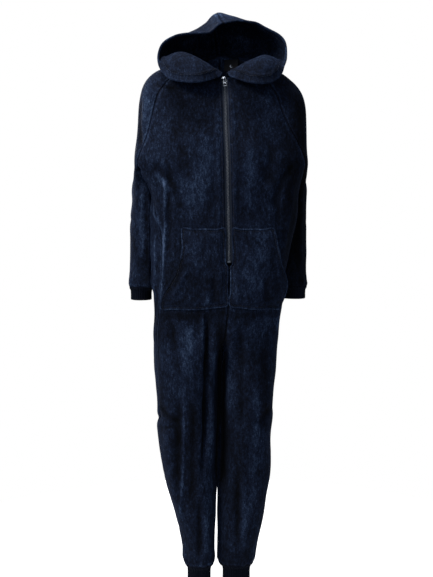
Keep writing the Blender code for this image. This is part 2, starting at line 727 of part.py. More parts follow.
def make_zip(panel_rows):
    """Chain, tapes, stop, slider and pull, set into the slot between the front panels."""
    centres, normals = zip_line(panel_rows)
    frame = zip_frame(centres, normals)
    top = frame @ Vector((0.0, 0.0, -PIVOT_BELOW_TOP + 0.001))
    chain_centres = [top] + centres[1:]
    while len(chain_centres) > 1 and chain_centres[1].z > top.z - 0.004:
        chain_centres.pop(1)
    chain_normals = normals[-len(chain_centres):]
    low = frame @ Vector((0.0, 0.0, -0.0002))
    tape_centres = [low, top] + chain_centres[1:]
    tape_normals = [normals[0], chain_normals[0]] + chain_normals[1:]
    inner = [0.0020, 0.0020] + [0.00015] * (len(tape_centres) - 2)
    front, back = WALL + 0.0006, WALL + 0.0006 + TAPE_THICKNESS
    strip("zip_tape_left", tape_centres, tape_normals, inner, TAPE_WIDTH, front, back, "tape")
    strip("zip_tape_right", tape_centres, tape_normals, [-x for x in inner], -TAPE_WIDTH, front, back, "tape")
    foot = chain_centres[-1] + Vector((0.0, 0.0, STOP_HEIGHT + SEAM_GAP))
    chain_centres[-1] = foot
    strip("zip_chain", chain_centres, chain_normals, -CHAIN_HALF_WIDTH, CHAIN_HALF_WIDTH,
          WALL + 0.0003 - CHAIN_THICKNESS, WALL + 0.0003, "metal")
    stop = [foot - Vector((0.0, 0.0, SEAM_GAP)), foot - Vector((0.0, 0.0, STOP_HEIGHT))]
    strip("zip_stop", stop, [chain_normals[-1]] * 2, -CHAIN_HALF_WIDTH - 0.001, CHAIN_HALF_WIDTH + 0.001,
          WALL + 0.0003 - 1.4 * CHAIN_THICKNESS, WALL + 0.0003, "metal")
    pivot = make_slider(frame)
    make_pull_tab(frame, pivot)


def make_label(neck_row):
    """Woven label hanging inside the back of the neck, from the neck seam."""
    place = min(neck_row, key=lambda point: abs(point.x - LABEL["x"]) if point.y > 0 else 1.0)
    mesh = bmesh.new()
    top = Vector((LABEL["x"], place.y - 0.0075, place.z - 0.004))
    box(mesh, (LABEL["width"], LABEL["thickness"], LABEL["height"]), (0, 0, -LABEL["height"] / 2))
    lean = Matrix.Translation(top) @ Matrix.Rotation(math.radians(-17), 4, "Z")
    bmesh.ops.transform(mesh, matrix=lean, verts=mesh.verts)
    add_object("neck_label", mesh, "label", smooth=False)


def hood_thickness(rim):
    """Twice the wall along the turned hem."""
    def depth(place):
        near = min((place - point).length for point in rim)
        return 2 * WALL if near < 0.010 else WALL
    return depth


def build():
    skin, panel_rows, body_parts, rims, neck_rows = {}, {}, {}, {}, {}
    for side in SIDES:
        upper = join_corners(upper_rows(side))
        body = join_corners(body_rows(side, upper[-1]))
        legs = join_corners(fold_legs(leg_rows(side, body[-1]), side))
        head_rows = [parts[1] for parts in upper]
        sleeve = sleeve_rows(side, upper[-1][1], body[0][1])
        for parts in sleeve:
            parts[1][0], parts[1][-1] = parts[0][0], parts[0][-1]
        half = UNDER_COLUMNS // 2
        front = patch([parts[0] for parts in upper]) + patch([parts[0] for parts in body])
        front += patch([parts[1] for parts in body], end=half + 1)
        front += patch([parts[0] for parts in legs]) + patch([parts[1] for parts in legs], end=half + 1)
        front += patch([parts[3] for parts in legs], start=INSEAM_COLUMNS)
        back = patch([parts[2] for parts in upper]) + patch([parts[2] for parts in body])
        back += patch([parts[1] for parts in body], start=half)
        back += patch([parts[2] for parts in legs]) + patch([parts[1] for parts in legs], start=half)
        back += patch([parts[3] for parts in legs], end=INSEAM_COLUMNS + 1)
        arm = patch(head_rows) + patch([parts[0] for parts in sleeve])
        arm += [quad[::-1] for quad in patch([parts[1] for parts in sleeve])]
        neck_row = upper[0][0] + upper[0][1][1:] + upper[0][2][1:]
        hood = hood_rows(side, neck_row)
        wrist = sleeve[-1][0] + sleeve[-1][1][::-1][1:]
        ankle = legs[-1][0] + legs[-1][1][1:] + legs[-1][2][1:] + legs[-1][3][1:]
        wrist_cuff = cuff_rows(wrist, WRIST_CUFF_HEIGHT, WRIST_DRAW_IN)
        ankle_cuff = cuff_rows(ankle, ANKLE_CUFF_HEIGHT, ANKLE_DRAW_IN)
        skin["front_" + side] = facing(front, side)
        skin["back_" + side] = facing(back, side)
        skin["sleeve_" + side] = facing(arm, side)
        skin["hood_" + side] = facing([quad[::-1] for quad in patch(hood)], side)
        skin["wrist_cuff_" + side] = facing(patch(wrist_cuff), side)
        skin["ankle_cuff_" + side] = facing(patch(ankle_cuff), side)
        panel_rows[side] = upper + body[1:]
        body_parts[side] = body
        rims[side] = hood[-1]
        neck_rows[side] = neck_row
    met = normals_at(skin)
    for name, quads in skin.items():
        if name.startswith("hood"):
            wall(name, quads, met, hood_thickness(rims[name[5:]]), "plush")
        elif "cuff" in name:
            wall(name, quads, met, RIB_WALL, "rib")
        else:
            wall(name, quads, met, WALL, "plush")
    for side in SIDES:
        make_pocket(side, body_parts[side])
    make_zip(panel_rows)
    make_label(neck_rows["left"])


clear_scene()
MATERIALS = {name: make_material(name, *values) for name, values in COLOURS.items()}
build()
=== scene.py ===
import math

import bmesh
import bpy
import numpy as np
from mathutils import Matrix, Vector, noise
from mathutils.bvhtree import BVHTree
from mathutils.kdtree import KDTree


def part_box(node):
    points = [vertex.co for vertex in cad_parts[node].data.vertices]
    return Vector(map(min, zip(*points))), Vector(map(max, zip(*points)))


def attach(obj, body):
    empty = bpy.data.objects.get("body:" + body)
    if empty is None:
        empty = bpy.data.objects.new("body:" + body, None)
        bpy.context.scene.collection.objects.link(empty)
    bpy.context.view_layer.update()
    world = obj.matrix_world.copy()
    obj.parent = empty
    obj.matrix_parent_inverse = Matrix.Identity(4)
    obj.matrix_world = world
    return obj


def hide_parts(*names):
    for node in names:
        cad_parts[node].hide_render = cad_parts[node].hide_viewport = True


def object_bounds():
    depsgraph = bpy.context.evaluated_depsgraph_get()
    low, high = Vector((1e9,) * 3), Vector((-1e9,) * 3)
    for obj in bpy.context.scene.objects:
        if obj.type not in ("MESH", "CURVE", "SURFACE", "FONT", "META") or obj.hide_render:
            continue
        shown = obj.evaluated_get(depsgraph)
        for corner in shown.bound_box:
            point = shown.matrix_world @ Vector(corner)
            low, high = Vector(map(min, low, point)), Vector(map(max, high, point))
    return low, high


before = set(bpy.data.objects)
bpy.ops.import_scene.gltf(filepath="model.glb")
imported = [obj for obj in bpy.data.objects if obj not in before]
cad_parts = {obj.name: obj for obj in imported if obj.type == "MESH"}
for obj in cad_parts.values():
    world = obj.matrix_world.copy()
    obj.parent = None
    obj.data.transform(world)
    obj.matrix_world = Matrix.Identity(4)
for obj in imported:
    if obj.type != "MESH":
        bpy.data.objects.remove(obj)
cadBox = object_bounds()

# Navy flannel fleece onesie, filled out as worn: front towards -Y, wearer's right at -X.
# The cut pieces are welded into one skin, smoothed and creased together, then cut apart again,
# so that every fold runs on across the seams.

studio = {
    "target": (-0.0145, 0.0, -0.61), "distance": 2.6, "azimuth": -5.0, "elevation": 3.5,
    "lens": 74.5, "sensor": 36.0, "floorBelow": 0.03, "floorSize": 1.2,
}

cloth = {  # frame node, material slot, wall, and the cut's flat width, length and area
    "frontRight": dict(node="front_right", slot="plush", wall=0.0025, flat=(0.36, 1.47), area=0.36),
    "frontLeft": dict(node="front_left", slot="plush", wall=0.0025, flat=(0.36, 1.47), area=0.36),
    "backRight": dict(node="back_right", slot="plush", wall=0.0025, flat=(0.36, 1.52), area=0.38),
    "backLeft": dict(node="back_left", slot="plush", wall=0.0025, flat=(0.36, 1.52), area=0.38),
    "sleeveRight": dict(node="sleeve_right", slot="plush", wall=0.0025, flat=(0.42, 0.68), area=0.19),
    "sleeveLeft": dict(node="sleeve_left", slot="plush", wall=0.0025, flat=(0.42, 0.68), area=0.19),
    "hoodRight": dict(node="hood_right", slot="plush", wall=0.0025, flat=(0.30, 0.38), area=0.085),
    "hoodLeft": dict(node="hood_left", slot="plush", wall=0.0025, flat=(0.30, 0.38), area=0.085),
    "wristCuffRight": dict(node="wrist_cuff_right", slot="rib", wall=0.003, flat=(0.26, 0.042), area=None),
    "wristCuffLeft": dict(node="wrist_cuff_left", slot="rib", wall=0.003, flat=(0.26, 0.042), area=None),
    "ankleCuffRight": dict(node="ankle_cuff_right", slot="rib", wall=0.003, flat=(0.32, 0.062), area=None),
    "ankleCuffLeft": dict(node="ankle_cuff_left", slot="rib", wall=0.003, flat=(0.32, 0.062), area=None),
}
weldGap = 0.0012       # seams stand 0.3 mm apart in the frame
hoodMiddle = 0.09      # level of a place inside the hood
smoothLevels = 3       # facets of 25 to 40 mm become 3 to 5 mm


def newObject(name, mesh, materials=()):
    piece = bpy.data.objects.new(name, mesh)
    bpy.context.scene.collection.objects.link(piece)
    for material in materials:
        mesh.materials.append(material)
    return piece


def toMesh(shape, name):
    mesh = bpy.data.meshes.new(name)
    shape.to_mesh(mesh)
    shape.free()
    return mesh


def evaluated(piece, name):
    graph = bpy.context.evaluated_depsgraph_get()
    return bpy.data.meshes.new_from_object(piece.evaluated_get(graph), depsgraph=graph)


def getPoints(mesh, what="co"):
    values = np.empty(len(mesh.vertices) * 3)
    mesh.vertices.foreach_get(what, values)
    return values.reshape(-1, 3)


def setPoints(mesh, points):
    mesh.vertices.foreach_set("co", points.reshape(-1))
    mesh.update()


def step(low, high, values):
    share = np.clip((values - low) / (high - low), 0.0, 1.0)
    return share * share * (3 - 2 * share)


def smoothed(mesh, levels, rounds=3, share=0.85):
    # subdivided, with the cage let out until the smooth surface runs through the corners it started from
    carrier = newObject("carrier", mesh)
    smooth = carrier.modifiers.new("smooth", "SUBSURF")
    smooth.levels = smooth.render_levels = levels
    corners = getPoints(mesh)
    cage = corners.copy()
    fine = evaluated(carrier, mesh.name + "Smooth")
    for _ in range(rounds):
        cage += (corners - getPoints(fine)[:len(cage)]) * share
        setPoints(mesh, cage)
        bpy.data.meshes.remove(fine)
        fine = evaluated(carrier, mesh.name + "Smooth")
    bpy.data.objects.remove(carrier)
    return fine


def outerSkin(node, walls=(0.0025, 0.003, 0.005)):
    shape = bmesh.new()
    shape.from_mesh(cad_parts[node].data)
    bmesh.ops.remove_doubles(shape, verts=shape.verts, dist=1e-5)
    rims = [face for face in shape.faces
            if any(abs(edge.calc_length() - wall) < 6e-6 for edge in face.edges for wall in walls)]
    bmesh.ops.delete(shape, geom=rims, context="FACES_ONLY")
    loose = [edge for edge in shape.edges if not edge.link_faces]
    bmesh.ops.delete(shape, geom=loose, context="EDGES")
    islands, left = [], set(shape.faces)
    while left:
        queue, island = [left.pop()], []
        while queue:
            face = queue.pop()
            island.append(face)
            for edge in face.edges:
                for other in edge.link_faces:
                    if other in left:
                        left.remove(other)
                        queue.append(other)
        islands.append(island)
    low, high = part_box(node)
    if "sleeve" in node or "cuff" in node:
        inside = (low + high) / 2
    elif "front" in node or "back" in node:
        inside = Vector((0, 0, (low.z + high.z) / 2))
    else:
        inside = Vector((0, 0, hoodMiddle))

    def outwards(island):
        return sum(face.calc_area() * face.normal.dot(face.calc_center_median() - inside) for face in island)
    islands.sort(key=len, reverse=True)
    keep = set(sorted(islands[:2], key=outwards)[-1])    # the two largest are the wall's outside and inside
    bmesh.ops.delete(shape, geom=[face for face in shape.faces if face not in keep], context="FACES")
    return shape


def joinedSkin():
    whole = bmesh.new()
    for index, (name, cut) in enumerate(cloth.items()):
        shape = outerSkin(cut["node"])
        for face in shape.faces:
            face.material_index = index
        whole.from_mesh(toMesh(shape, name + "Skin"))
    bmesh.ops.remove_doubles(whole, verts=whole.verts, dist=weldGap)
    bmesh.ops.join_triangles(whole, faces=whole.faces, cmp_materials=True,
                             angle_face_threshold=math.radians(60), angle_shape_threshold=math.radians(180))
    sharp = whole.edges.layers.float.new("crease_edge")
    names = list(cloth)
    for edge in whole.edges:
        touched = {names[face.material_index][:4] for face in edge.link_faces}
        if "hood" in touched and len(touched) > 1:
            edge[sharp] = 0.7                            # the hood turns sharply out of the neck seam
    print("skin:", len(whole.faces), "facets,", sum(1 for f in whole.faces if len(f.verts) == 4), "four-sided")
    return smoothed(toMesh(whole, "skin"), smoothLevels)


# Creases, each a soft ridge (+) or trough (-) along a line of the wearer's front (x, z), back (x, z),
# right side (y, z) or left side (y, z). Width is the half width, in metres.
creases = [
    # seen, pieces, line, width, height
    ("front", "frontRight backRight", ((-0.171, -0.215), (-0.165, -0.331), (-0.164, -0.427), (-0.169, -0.524),
                                       (-0.175, -0.608), (-0.184, -0.72)), 0.0045, 0.0050),
    ("front", "frontRight backRight", ((-0.158, -0.240), (-0.153, -0.420), (-0.158, -0.520)), 0.0070, -0.0030),
    ("front", "backRight frontRight", ((-0.194, -0.440), (-0.193, -0.554), (-0.195, -0.660)), 0.0050, 0.0035),
    ("front", "frontRight backRight", ((-0.236, -0.286), (-0.218, -0.330), (-0.201, -0.377), (-0.185, -0.416),
                                       (-0.171, -0.449)), 0.0045, 0.0040),
    ("front", "frontRight sleeveRight", ((-0.200, -0.037), (-0.155, -0.047), (-0.100, -0.052)), 0.0070, -0.0045),
    ("front", "frontRight", ((-0.140, -0.120), (-0.120, -0.210), (-0.100, -0.320)), 0.0220, -0.0040),
    ("front", "frontRight", ((-0.060, -0.150), (-0.052, -0.260), (-0.066, -0.380)), 0.0240, 0.0030),
    ("front", "frontRight", ((-0.205, -0.250), (-0.150, -0.310), (-0.110, -0.400)), 0.0110, -0.0035),
    ("front", "frontRight", ((-0.198, -0.275), (-0.140, -0.345)), 0.0090, 0.0030),
    ("front", "frontLeft", ((0.098, -0.160), (0.125, -0.225), (0.118, -0.335)), 0.0200, -0.0040),
    ("front", "frontLeft", ((0.060, -0.180), (0.070, -0.300), (0.055, -0.400)), 0.0240, 0.0030),
    ("front", "frontLeft", ((0.205, -0.245), (0.160, -0.300), (0.130, -0.390)), 0.0110, -0.0040),
    ("front", "frontLeft", ((0.200, -0.300), (0.178, -0.420), (0.168, -0.520)), 0.0060, 0.0035),
    ("front", "frontLeft", ((0.150, -0.350), (0.146, -0.430)), 0.0090, -0.0030),
    ("front", "frontRight", ((-0.020, -0.070), (-0.024, -0.200), (-0.018, -0.340), (-0.022, -0.500)), 0.0050, 0.0022),
    ("front", "frontLeft", ((0.020, -0.070), (0.026, -0.210), (0.024, -0.350), (0.030, -0.500)), 0.0050, 0.0022),
    # legs, front
    ("front", "frontRight", ((-0.051, -0.655), (-0.051, -0.803), (-0.051, -0.916), (-0.055, -1.029),
                             (-0.064, -1.160)), 0.0062, -0.0150),
    ("front", "frontRight frontLeft", ((-0.008, -0.680), (-0.006, -0.900), (-0.008, -1.200)), 0.0120, -0.0110),
    ("front", "frontRight", ((-0.063, -0.662), (-0.063, -0.790)), 0.0050, 0.0050),
    ("front", "frontRight", ((-0.030, -0.690), (-0.031, -0.833), (-0.035, -1.003), (-0.043, -1.130)), 0.0095, 0.0035),
    ("front", "frontRight", ((-0.112, -0.850), (-0.115, -1.006), (-0.117, -1.121), (-0.122, -1.207),
                             (-0.124, -1.320)), 0.0045, 0.0050),
    ("front", "frontRight", ((-0.128, -0.900), (-0.132, -1.080), (-0.133, -1.230)), 0.0120, -0.0050),
    ("front", "frontRight", ((-0.090, -0.880), (-0.088, -1.060), (-0.094, -1.250)), 0.0130, -0.0040),
    ("front", "frontRight", ((-0.190, -0.940), (-0.160, -0.972), (-0.125, -0.985)), 0.0080, -0.0040),
    ("front", "frontRight", ((-0.190, -1.012), (-0.150, -0.998), (-0.128, -1.004)), 0.0070, -0.0035),
    ("front", "frontRight", ((-0.150, -0.690), (-0.140, -0.790), (-0.128, -0.870)), 0.0120, -0.0040),
    ("front", "frontRight", ((-0.100, -0.700), (-0.094, -0.800)), 0.0110, 0.0030),
    ("front", "frontRight", ((-0.070, -1.200), (-0.068, -1.300), (-0.072, -1.400)), 0.0080, -0.0045),
    ("front", "frontRight", ((-0.052, -1.240), (-0.048, -1.390)), 0.0080, 0.0026),
    ("front", "frontLeft", ((0.046, -0.680), (0.043, -0.834), (0.052, -1.005)), 0.0120, -0.0045),
    ("front", "frontLeft", ((0.020, -0.690), (0.016, -0.850), (0.018, -1.020)), 0.0080, 0.0040),
    ("front", "frontLeft", ((0.091, -0.830), (0.090, -1.067), (0.074, -1.290)), 0.0120, 0.0026),
    ("front", "frontLeft", ((0.112, -0.720), (0.118, -0.900), (0.106, -1.080)), 0.0120, -0.0035),
    ("front", "frontLeft", ((0.038, -1.090), (0.040, -1.230), (0.038, -1.370)), 0.0090, -0.0050),
    ("front", "frontLeft", ((0.060, -1.150), (0.058, -1.390)), 0.0080, 0.0026),
    ("front", "frontLeft", ((0.140, -0.940), (0.110, -0.985), (0.080, -0.990)), 0.0090, -0.0035),
    ("front", "frontLeft", ((0.168, -0.610), (0.150, -0.740)), 0.0080, 0.0040),
    # sleeves
    ("front", "sleeveRight", ((-0.228, -0.300), (-0.227, -0.426), (-0.231, -0.560)), 0.0055, 0.0050),
    ("front", "sleeveRight", ((-0.217, -0.330), (-0.216, -0.560)), 0.0060, -0.0035),
    ("front", "sleeveRight", ((-0.231, -0.060), (-0.235, -0.150), (-0.232, -0.225)), 0.0050, -0.0040),
    ("right", "sleeveRight", ((0.070, -0.150), (0.092, -0.280), (0.090, -0.420)), 0.0120, -0.0055),
    ("right", "sleeveRight", ((0.105, -0.200), (0.114, -0.360), (0.100, -0.520)), 0.0110, 0.0050),
    ("right", "sleeveRight", ((0.030, -0.400), (0.065, -0.425), (0.110, -0.410)), 0.0090, -0.0035),
    ("right", "sleeveRight", ((0.040, -0.460), (0.070, -0.478), (0.105, -0.462)), 0.0080, -0.0030),
    ("left", "sleeveLeft", ((0.076, -0.160), (0.100, -0.300), (0.098, -0.430)), 0.0120, -0.0055),
    ("left", "sleeveLeft", ((0.118, -0.220), (0.122, -0.380), (0.108, -0.540)), 0.0110, 0.0050),
    ("left", "sleeveLeft", ((0.040, -0.410), (0.080, -0.432), (0.120, -0.420)), 0.0090, -0.0035),
    ("left", "sleeveLeft", ((0.045, -0.330), (0.080, -0.350), (0.115, -0.336)), 0.0080, -0.0030),
    ("front", "sleeveLeft", ((0.236, -0.290), (0.234, -0.430), (0.236, -0.580)), 0.0060, 0.0040),
    # back
    ("back", "backRight", ((-0.070, -0.060), (-0.078, -0.180), (-0.060, -0.320)), 0.0200, -0.0050),
    ("back", "backRight", ((-0.140, -0.130), (-0.128, -0.260), (-0.100, -0.400)), 0.0150, 0.0050),
    ("back", "backRight", ((-0.165, -0.230), (-0.130, -0.380), (-0.105, -0.480)), 0.0120, -0.0060),
    ("back", "backRight", ((-0.150, -0.440), (-0.090, -0.470), (-0.020, -0.465)), 0.0110, -0.0038),
    ("back", "backRight", ((-0.140, -0.505), (-0.080, -0.530), (-0.015, -0.522)), 0.0120, 0.0045),
    ("back", "backRight", ((-0.060, -0.560), (-0.052, -0.700), (-0.060, -0.860)), 0.0140, -0.0065),
    ("back", "backRight", ((-0.110, -0.640), (-0.100, -0.800), (-0.098, -0.980)), 0.0130, 0.0060),
    ("back", "backRight", ((-0.150, -0.700), (-0.142, -0.860), (-0.130, -1.040)), 0.0120, -0.0060),
    ("back", "backRight", ((-0.160, -1.000), (-0.110, -1.030), (-0.040, -1.022)), 0.0120, -0.0035),
    ("back", "backRight", ((-0.150, -1.065), (-0.090, -1.090), (-0.035, -1.078)), 0.0100, 0.0040),
    ("back", "backRight", ((-0.082, -1.120), (-0.078, -1.260), (-0.070, -1.400)), 0.0110, -0.0055),
    ("back", "backLeft", ((0.078, -0.080), (0.070, -0.200), (0.074, -0.330)), 0.0200, -0.0050),
    ("back", "backLeft", ((0.150, -0.120), (0.132, -0.270), (0.112, -0.380)), 0.0150, 0.0050),
    ("back", "backLeft", ((0.170, -0.250), (0.138, -0.370), (0.090, -0.500)), 0.0120, -0.0060),
    ("back", "backLeft", ((0.140, -0.430), (0.080, -0.455), (0.016, -0.450)), 0.0120, -0.0035),
    ("back", "backLeft", ((0.145, -0.490), (0.070, -0.512), (0.020, -0.500)), 0.0120, 0.0045),
    ("back", "backLeft", ((0.050, -0.580), (0.060, -0.720), (0.050, -0.880)), 0.0140, -0.0060),
    ("back", "backLeft", ((0.100, -0.650), (0.096, -0.820), (0.088, -1.000)), 0.0130, 0.0060),
    ("back", "backLeft", ((0.132, -0.760), (0.124, -0.900), (0.116, -1.060)), 0.0120, -0.0055),
    ("back", "backLeft", ((0.130, -0.985), (0.090, -1.015), (0.035, -1.005)), 0.0120, -0.0035),
    ("back", "backLeft", ((0.126, -1.050), (0.080, -1.072), (0.030, -1.062)), 0.0100, 0.0040),
    ("back", "backLeft", ((0.060, -1.110), (0.062, -1.250), (0.056, -1.400)), 0.0110, -0.0055),
    # sides
    ("left", "frontLeft backLeft", ((-0.020, -0.300), (-0.010, -0.450), (0.004, -0.620)), 0.0110, -0.0050),
    ("left", "frontLeft backLeft", ((0.030, -0.640), (0.024, -0.850), (0.010, -1.050)), 0.0120, 0.0050),
    ("left", "frontLeft backLeft", ((0.020, -0.950), (0.040, -0.985), (0.060, -0.975)), 0.0090, -0.0035),
    ("right", "frontRight backRight", ((0.030, -0.640), (0.020, -0.830), (0.006, -1.060)), 0.0120, 0.0050),
    ("right", "frontRight backRight", ((-0.034, -0.960), (0.000, -0.990), (0.036, -0.980)), 0.0090, -0.0045),
    # hood, seen from outside
    ("back", "hoodRight", ((-0.030, 0.050), (-0.075, 0.075), (-0.130, 0.070)), 0.0100, -0.0060),
    ("back", "hoodRight", ((-0.030, 0.150), (-0.080, 0.120), (-0.120, 0.100)), 0.0110, 0.0050),
    ("back", "hoodLeft", ((0.030, 0.052), (0.080, 0.080), (0.140, 0.080)), 0.0100, -0.0060),
    ("back", "hoodLeft", ((0.020, 0.140), (0.080, 0.128), (0.130, 0.105)), 0.0110, 0.0050),
]
views = {"front": (0, 1, -1), "back": (0, 1, 1), "right": (1, 0, -1), "left": (1, 0, 1)}


def nearLine(flat, line):
    # distance of each point to a line of straight runs, and how far along it the nearest place is
    line = np.array(line)
    lengths = np.linalg.norm(np.diff(line, axis=0), axis=1)
    best, share, done = np.full(len(flat), 9.0), np.zeros(len(flat)), 0.0
    for start, end, length in zip(line, line[1:], lengths):
        part = np.clip(((flat - start) @ (end - start)) / length ** 2, 0, 1)
        distance = np.linalg.norm(flat - start - part[:, None] * (end - start), axis=1)
        closer = distance < best
        best[closer] = distance[closer]
        share[closer] = (done + part[closer] * length) / lengths.sum()
        done += length
    return best, share


def pressCreases(points, normals, members):
    moved, paintedLightAndNap = np.zeros(len(points)), np.zeros(len(points))
    for number, (seen, pieces, line, width, height) in enumerate(creases):
        along, facing, sign = views[seen]
        chosen = np.zeros(len(points), bool)
        for name in pieces.split():
            chosen |= members[name]
        chosen &= normals[:, facing] * sign > 0.05
        index = np.nonzero(chosen)[0]
        if not len(index):
            continue
        flat = points[index][:, (along, 2)]
        distance, share = nearLine(flat, line)
        near = distance < 4 * width
        index, distance, share, flat = index[near], distance[near], share[near], flat[near]
        wobble = np.array([noise.noise(Vector((number * 3.1, z * 14.0, 0.5))) for z in flat[:, 1] + flat[:, 0]])
        spread = width * (1 + 0.35 * wobble)
        fade = step(0, 0.22, share) * step(0, 0.22, 1 - share)
        turned = step(0.05, 0.45, normals[index, facing] * sign)
        moved[index] += height * (1 + 0.5 * wobble) * np.exp(-(distance / spread) ** 2) * fade * turned
        core = np.exp(-(distance / (0.8 * spread)) ** 2) * fade * turned
        # painted highlight along each ridge and painted shade along each trough, half as strong away from the front
        strength = paintedLightStrengths["crease"] * (1.0 if seen == "front" else 0.5)
        paintedLightAndNap[index] += np.clip(height / 0.005, -1.6, 1.2) * strength * core * (1 + 0.8 * wobble)
    return moved, paintedLightAndNap


# Strengths of painted highlight and painted shade along creases, seams and the hood's hem; then patches of painted
# highlight (+) and painted shade (-), some of them lighter or darker nap: seen, pieces, place, reach, amount
paintedLightStrengths = {"crease": 0.20, "seamHighlight": 0.12, "seamShade": -0.16, "hemHighlight": 0.10}
paintedLightAndNapPatches = [
    # painted highlight down the lit sleeve beside its seam
    ("front", "sleeveRight", (-0.214, -0.110), (0.018, 0.085), 0.20),
    ("front", "sleeveRight", (-0.226, -0.300), (0.014, 0.130), 0.08),
    # painted shade on the sleeve turned away from the key light
    ("front", "sleeveLeft", (0.240, -0.300), (0.060, 0.400), -0.42),
    # lighter and darker patches on the chest: painted highlight and painted shade over its folds, partly nap
    ("front", "frontRight", (-0.098, -0.345), (0.034, 0.060), 0.12),
    ("front", "frontRight", (-0.120, -0.200), (0.030, 0.050), 0.05),
    ("front", "frontRight", (-0.180, -0.230), (0.014, 0.050), 0.07),
    ("front", "frontRight", (-0.173, -0.457), (0.016, 0.060), 0.12),
    ("front", "frontRight", (-0.100, -0.530), (0.030, 0.080), -0.06),
    ("front", "frontLeft", (0.040, -0.240), (0.022, 0.110), -0.07),
    ("front", "frontLeft", (0.110, -0.190), (0.016, 0.090), 0.07),
    ("front", "frontLeft", (0.120, -0.390), (0.020, 0.050), 0.05),
    # painted shade down the flank turned away from the key light
    ("front", "frontLeft", (0.195, -0.420), (0.028, 0.300), -0.26),
    # lighter and darker patches on the legs' front: painted highlight and painted shade, partly nap
    ("front", "frontRight", (-0.120, -0.830), (0.030, 0.110), 0.10),
    ("front", "frontRight", (-0.130, -1.250), (0.020, 0.100), 0.05),
    ("front", "frontLeft", (0.050, -0.790), (0.028, 0.110), 0.06),
    ("front", "frontLeft", (0.110, -0.660), (0.030, 0.060), 0.04),
    # painted shade between the legs
    ("front", "frontRight frontLeft", (-0.006, -0.950), (0.018, 0.240), -0.42),
    # painted highlight on the hood's crown, and painted shade under the hood's front
    ("front", "hoodRight hoodLeft", (-0.010, 0.190), (0.120, 0.022), 0.22),
    ("front", "hoodRight hoodLeft", (0.000, -0.005), (0.200, 0.050), -0.34),
    # painted shadow beneath the pockets
    ("front", "frontRight", (-0.100, -0.680), (0.075, 0.012), -0.22),
    ("front", "frontLeft", (0.080, -0.678), (0.075, 0.010), -0.16),
    # lighter and darker patches on the back and the sides
    ("back", "backRight", (-0.090, -0.240), (0.040, 0.080), 0.08),
    ("back", "backLeft", (0.100, -0.330), (0.040, 0.090), 0.08),
    ("back", "backRight", (-0.100, -0.800), (0.035, 0.120), 0.08),
    ("back", "backLeft", (0.070, -0.900), (0.035, 0.120), 0.07),
    ("back", "backLeft", (0.060, -0.560), (0.040, 0.060), -0.06),
    ("back", "hoodRight hoodLeft", (0.010, 0.140), (0.070, 0.030), 0.06),
    ("right", "sleeveRight", (0.040, -0.240), (0.024, 0.090), 0.08),
    ("left", "sleeveLeft", (0.050, -0.260), (0.024, 0.090), 0.06),
]


def paintLightAndNapPatches(points, normals, members):
    paintedLightAndNap = np.zeros(len(points))
    for seen, pieces, place, reach, amount in paintedLightAndNapPatches:
        along, facing, sign = views[seen]
        chosen = np.zeros(len(points), bool)
        for name in pieces.split():
            chosen |= members[name]
        away = (points[:, (along, 2)] - place) / reach
        turned = step(-0.1, 0.4, normals[:, facing] * sign)
        paintedLightAndNap += amount * np.exp(-(away ** 2).sum(axis=1)) * turned * chosen
    return paintedLightAndNap


def keepPaintedLightAndNap(mesh, paintedLightAndNap):
    # painted highlight and painted shade, with the lighter and darker nap patches, carried with the cloth to its
    # material
    layer = mesh.attributes.new("paintedLightAndNap", "FLOAT", "POINT")
    layer.data.foreach_set("value", np.asarray(paintedLightAndNap, dtype=np.float32))


fleece = {"seamDip": 0.0014, "seamReach": 0.0042, "pucker": 0.0012, "puckerLength": 0.016,
          "puckerReach": 0.010, "hemWidth": 0.024, "hemRise": 0.0012, "hemGroove": 0.0028,
          "slack": 0.0035, "slackSize": 0.085,
          "ripple": 0.0010, "rippleSize": 0.030}
hoodRim = {"drop": 0.017, "peakWidth": 0.060, "sides": 0.004, "reach": 0.095, "forward": 0.006}
hoodPeak = ((-0.13, 0.0), (-0.10, -0.006), (-0.065, -0.014), (-0.037, -0.018), (-0.012, 0.0), (0.0, 0.003),
            (0.020, 0.006), (0.044, 0.013), (0.095, 0.015), (0.12, 0.008), (0.16, 0.006), (0.19, 0.0))
zipGap = {"open": 0.0022, "reach": 0.009}
touching = [  # cloth that lies against other cloth: pieces on each side, levels, and from how far it reaches over
    ("frontRight backRight", "frontLeft backLeft", (-0.665, -0.715, -1.16, -1.24), (0.014, 0.026)),
    ("sleeveRight", "frontRight backRight", (-0.20, -0.27, -0.59, -0.625), (0.034, 0.048)),
    ("sleeveLeft", "frontLeft backLeft", (-0.24, -0.30, -0.58, -0.62), (0.014, 0.028)),
]
gathers = {  # pleats that a cuff draws into the cloth above it: level, reach upwards, pleats, depth
    "frontRight": (-1.415, 0.075, 15, 0.0030), "backRight": (-1.415, 0.075, 15, 0.0030),
    "frontLeft": (-1.415, 0.075, 16, 0.0030), "backLeft": (-1.415, 0.075, 16, 0.0030),
    "sleeveRight": (-0.606, 0.050, 12, 0.0026), "sleeveLeft": (-0.606, 0.050, 12, 0.0026),
}


def memberships(mesh):
    totals = np.empty(len(mesh.polygons), int)
    owners = np.empty(len(mesh.polygons), int)
    corners = np.empty(len(mesh.loops), int)
    mesh.polygons.foreach_get("loop_total", totals)
    mesh.polygons.foreach_get("material_index", owners)
    mesh.loops.foreach_get("vertex_index", corners)
    owners = np.repeat(owners, totals)
    members = {}
    for index, name in enumerate(cloth):
        members[name] = np.zeros(len(mesh.vertices), bool)
        members[name][corners[owners == index]] = True
    return members


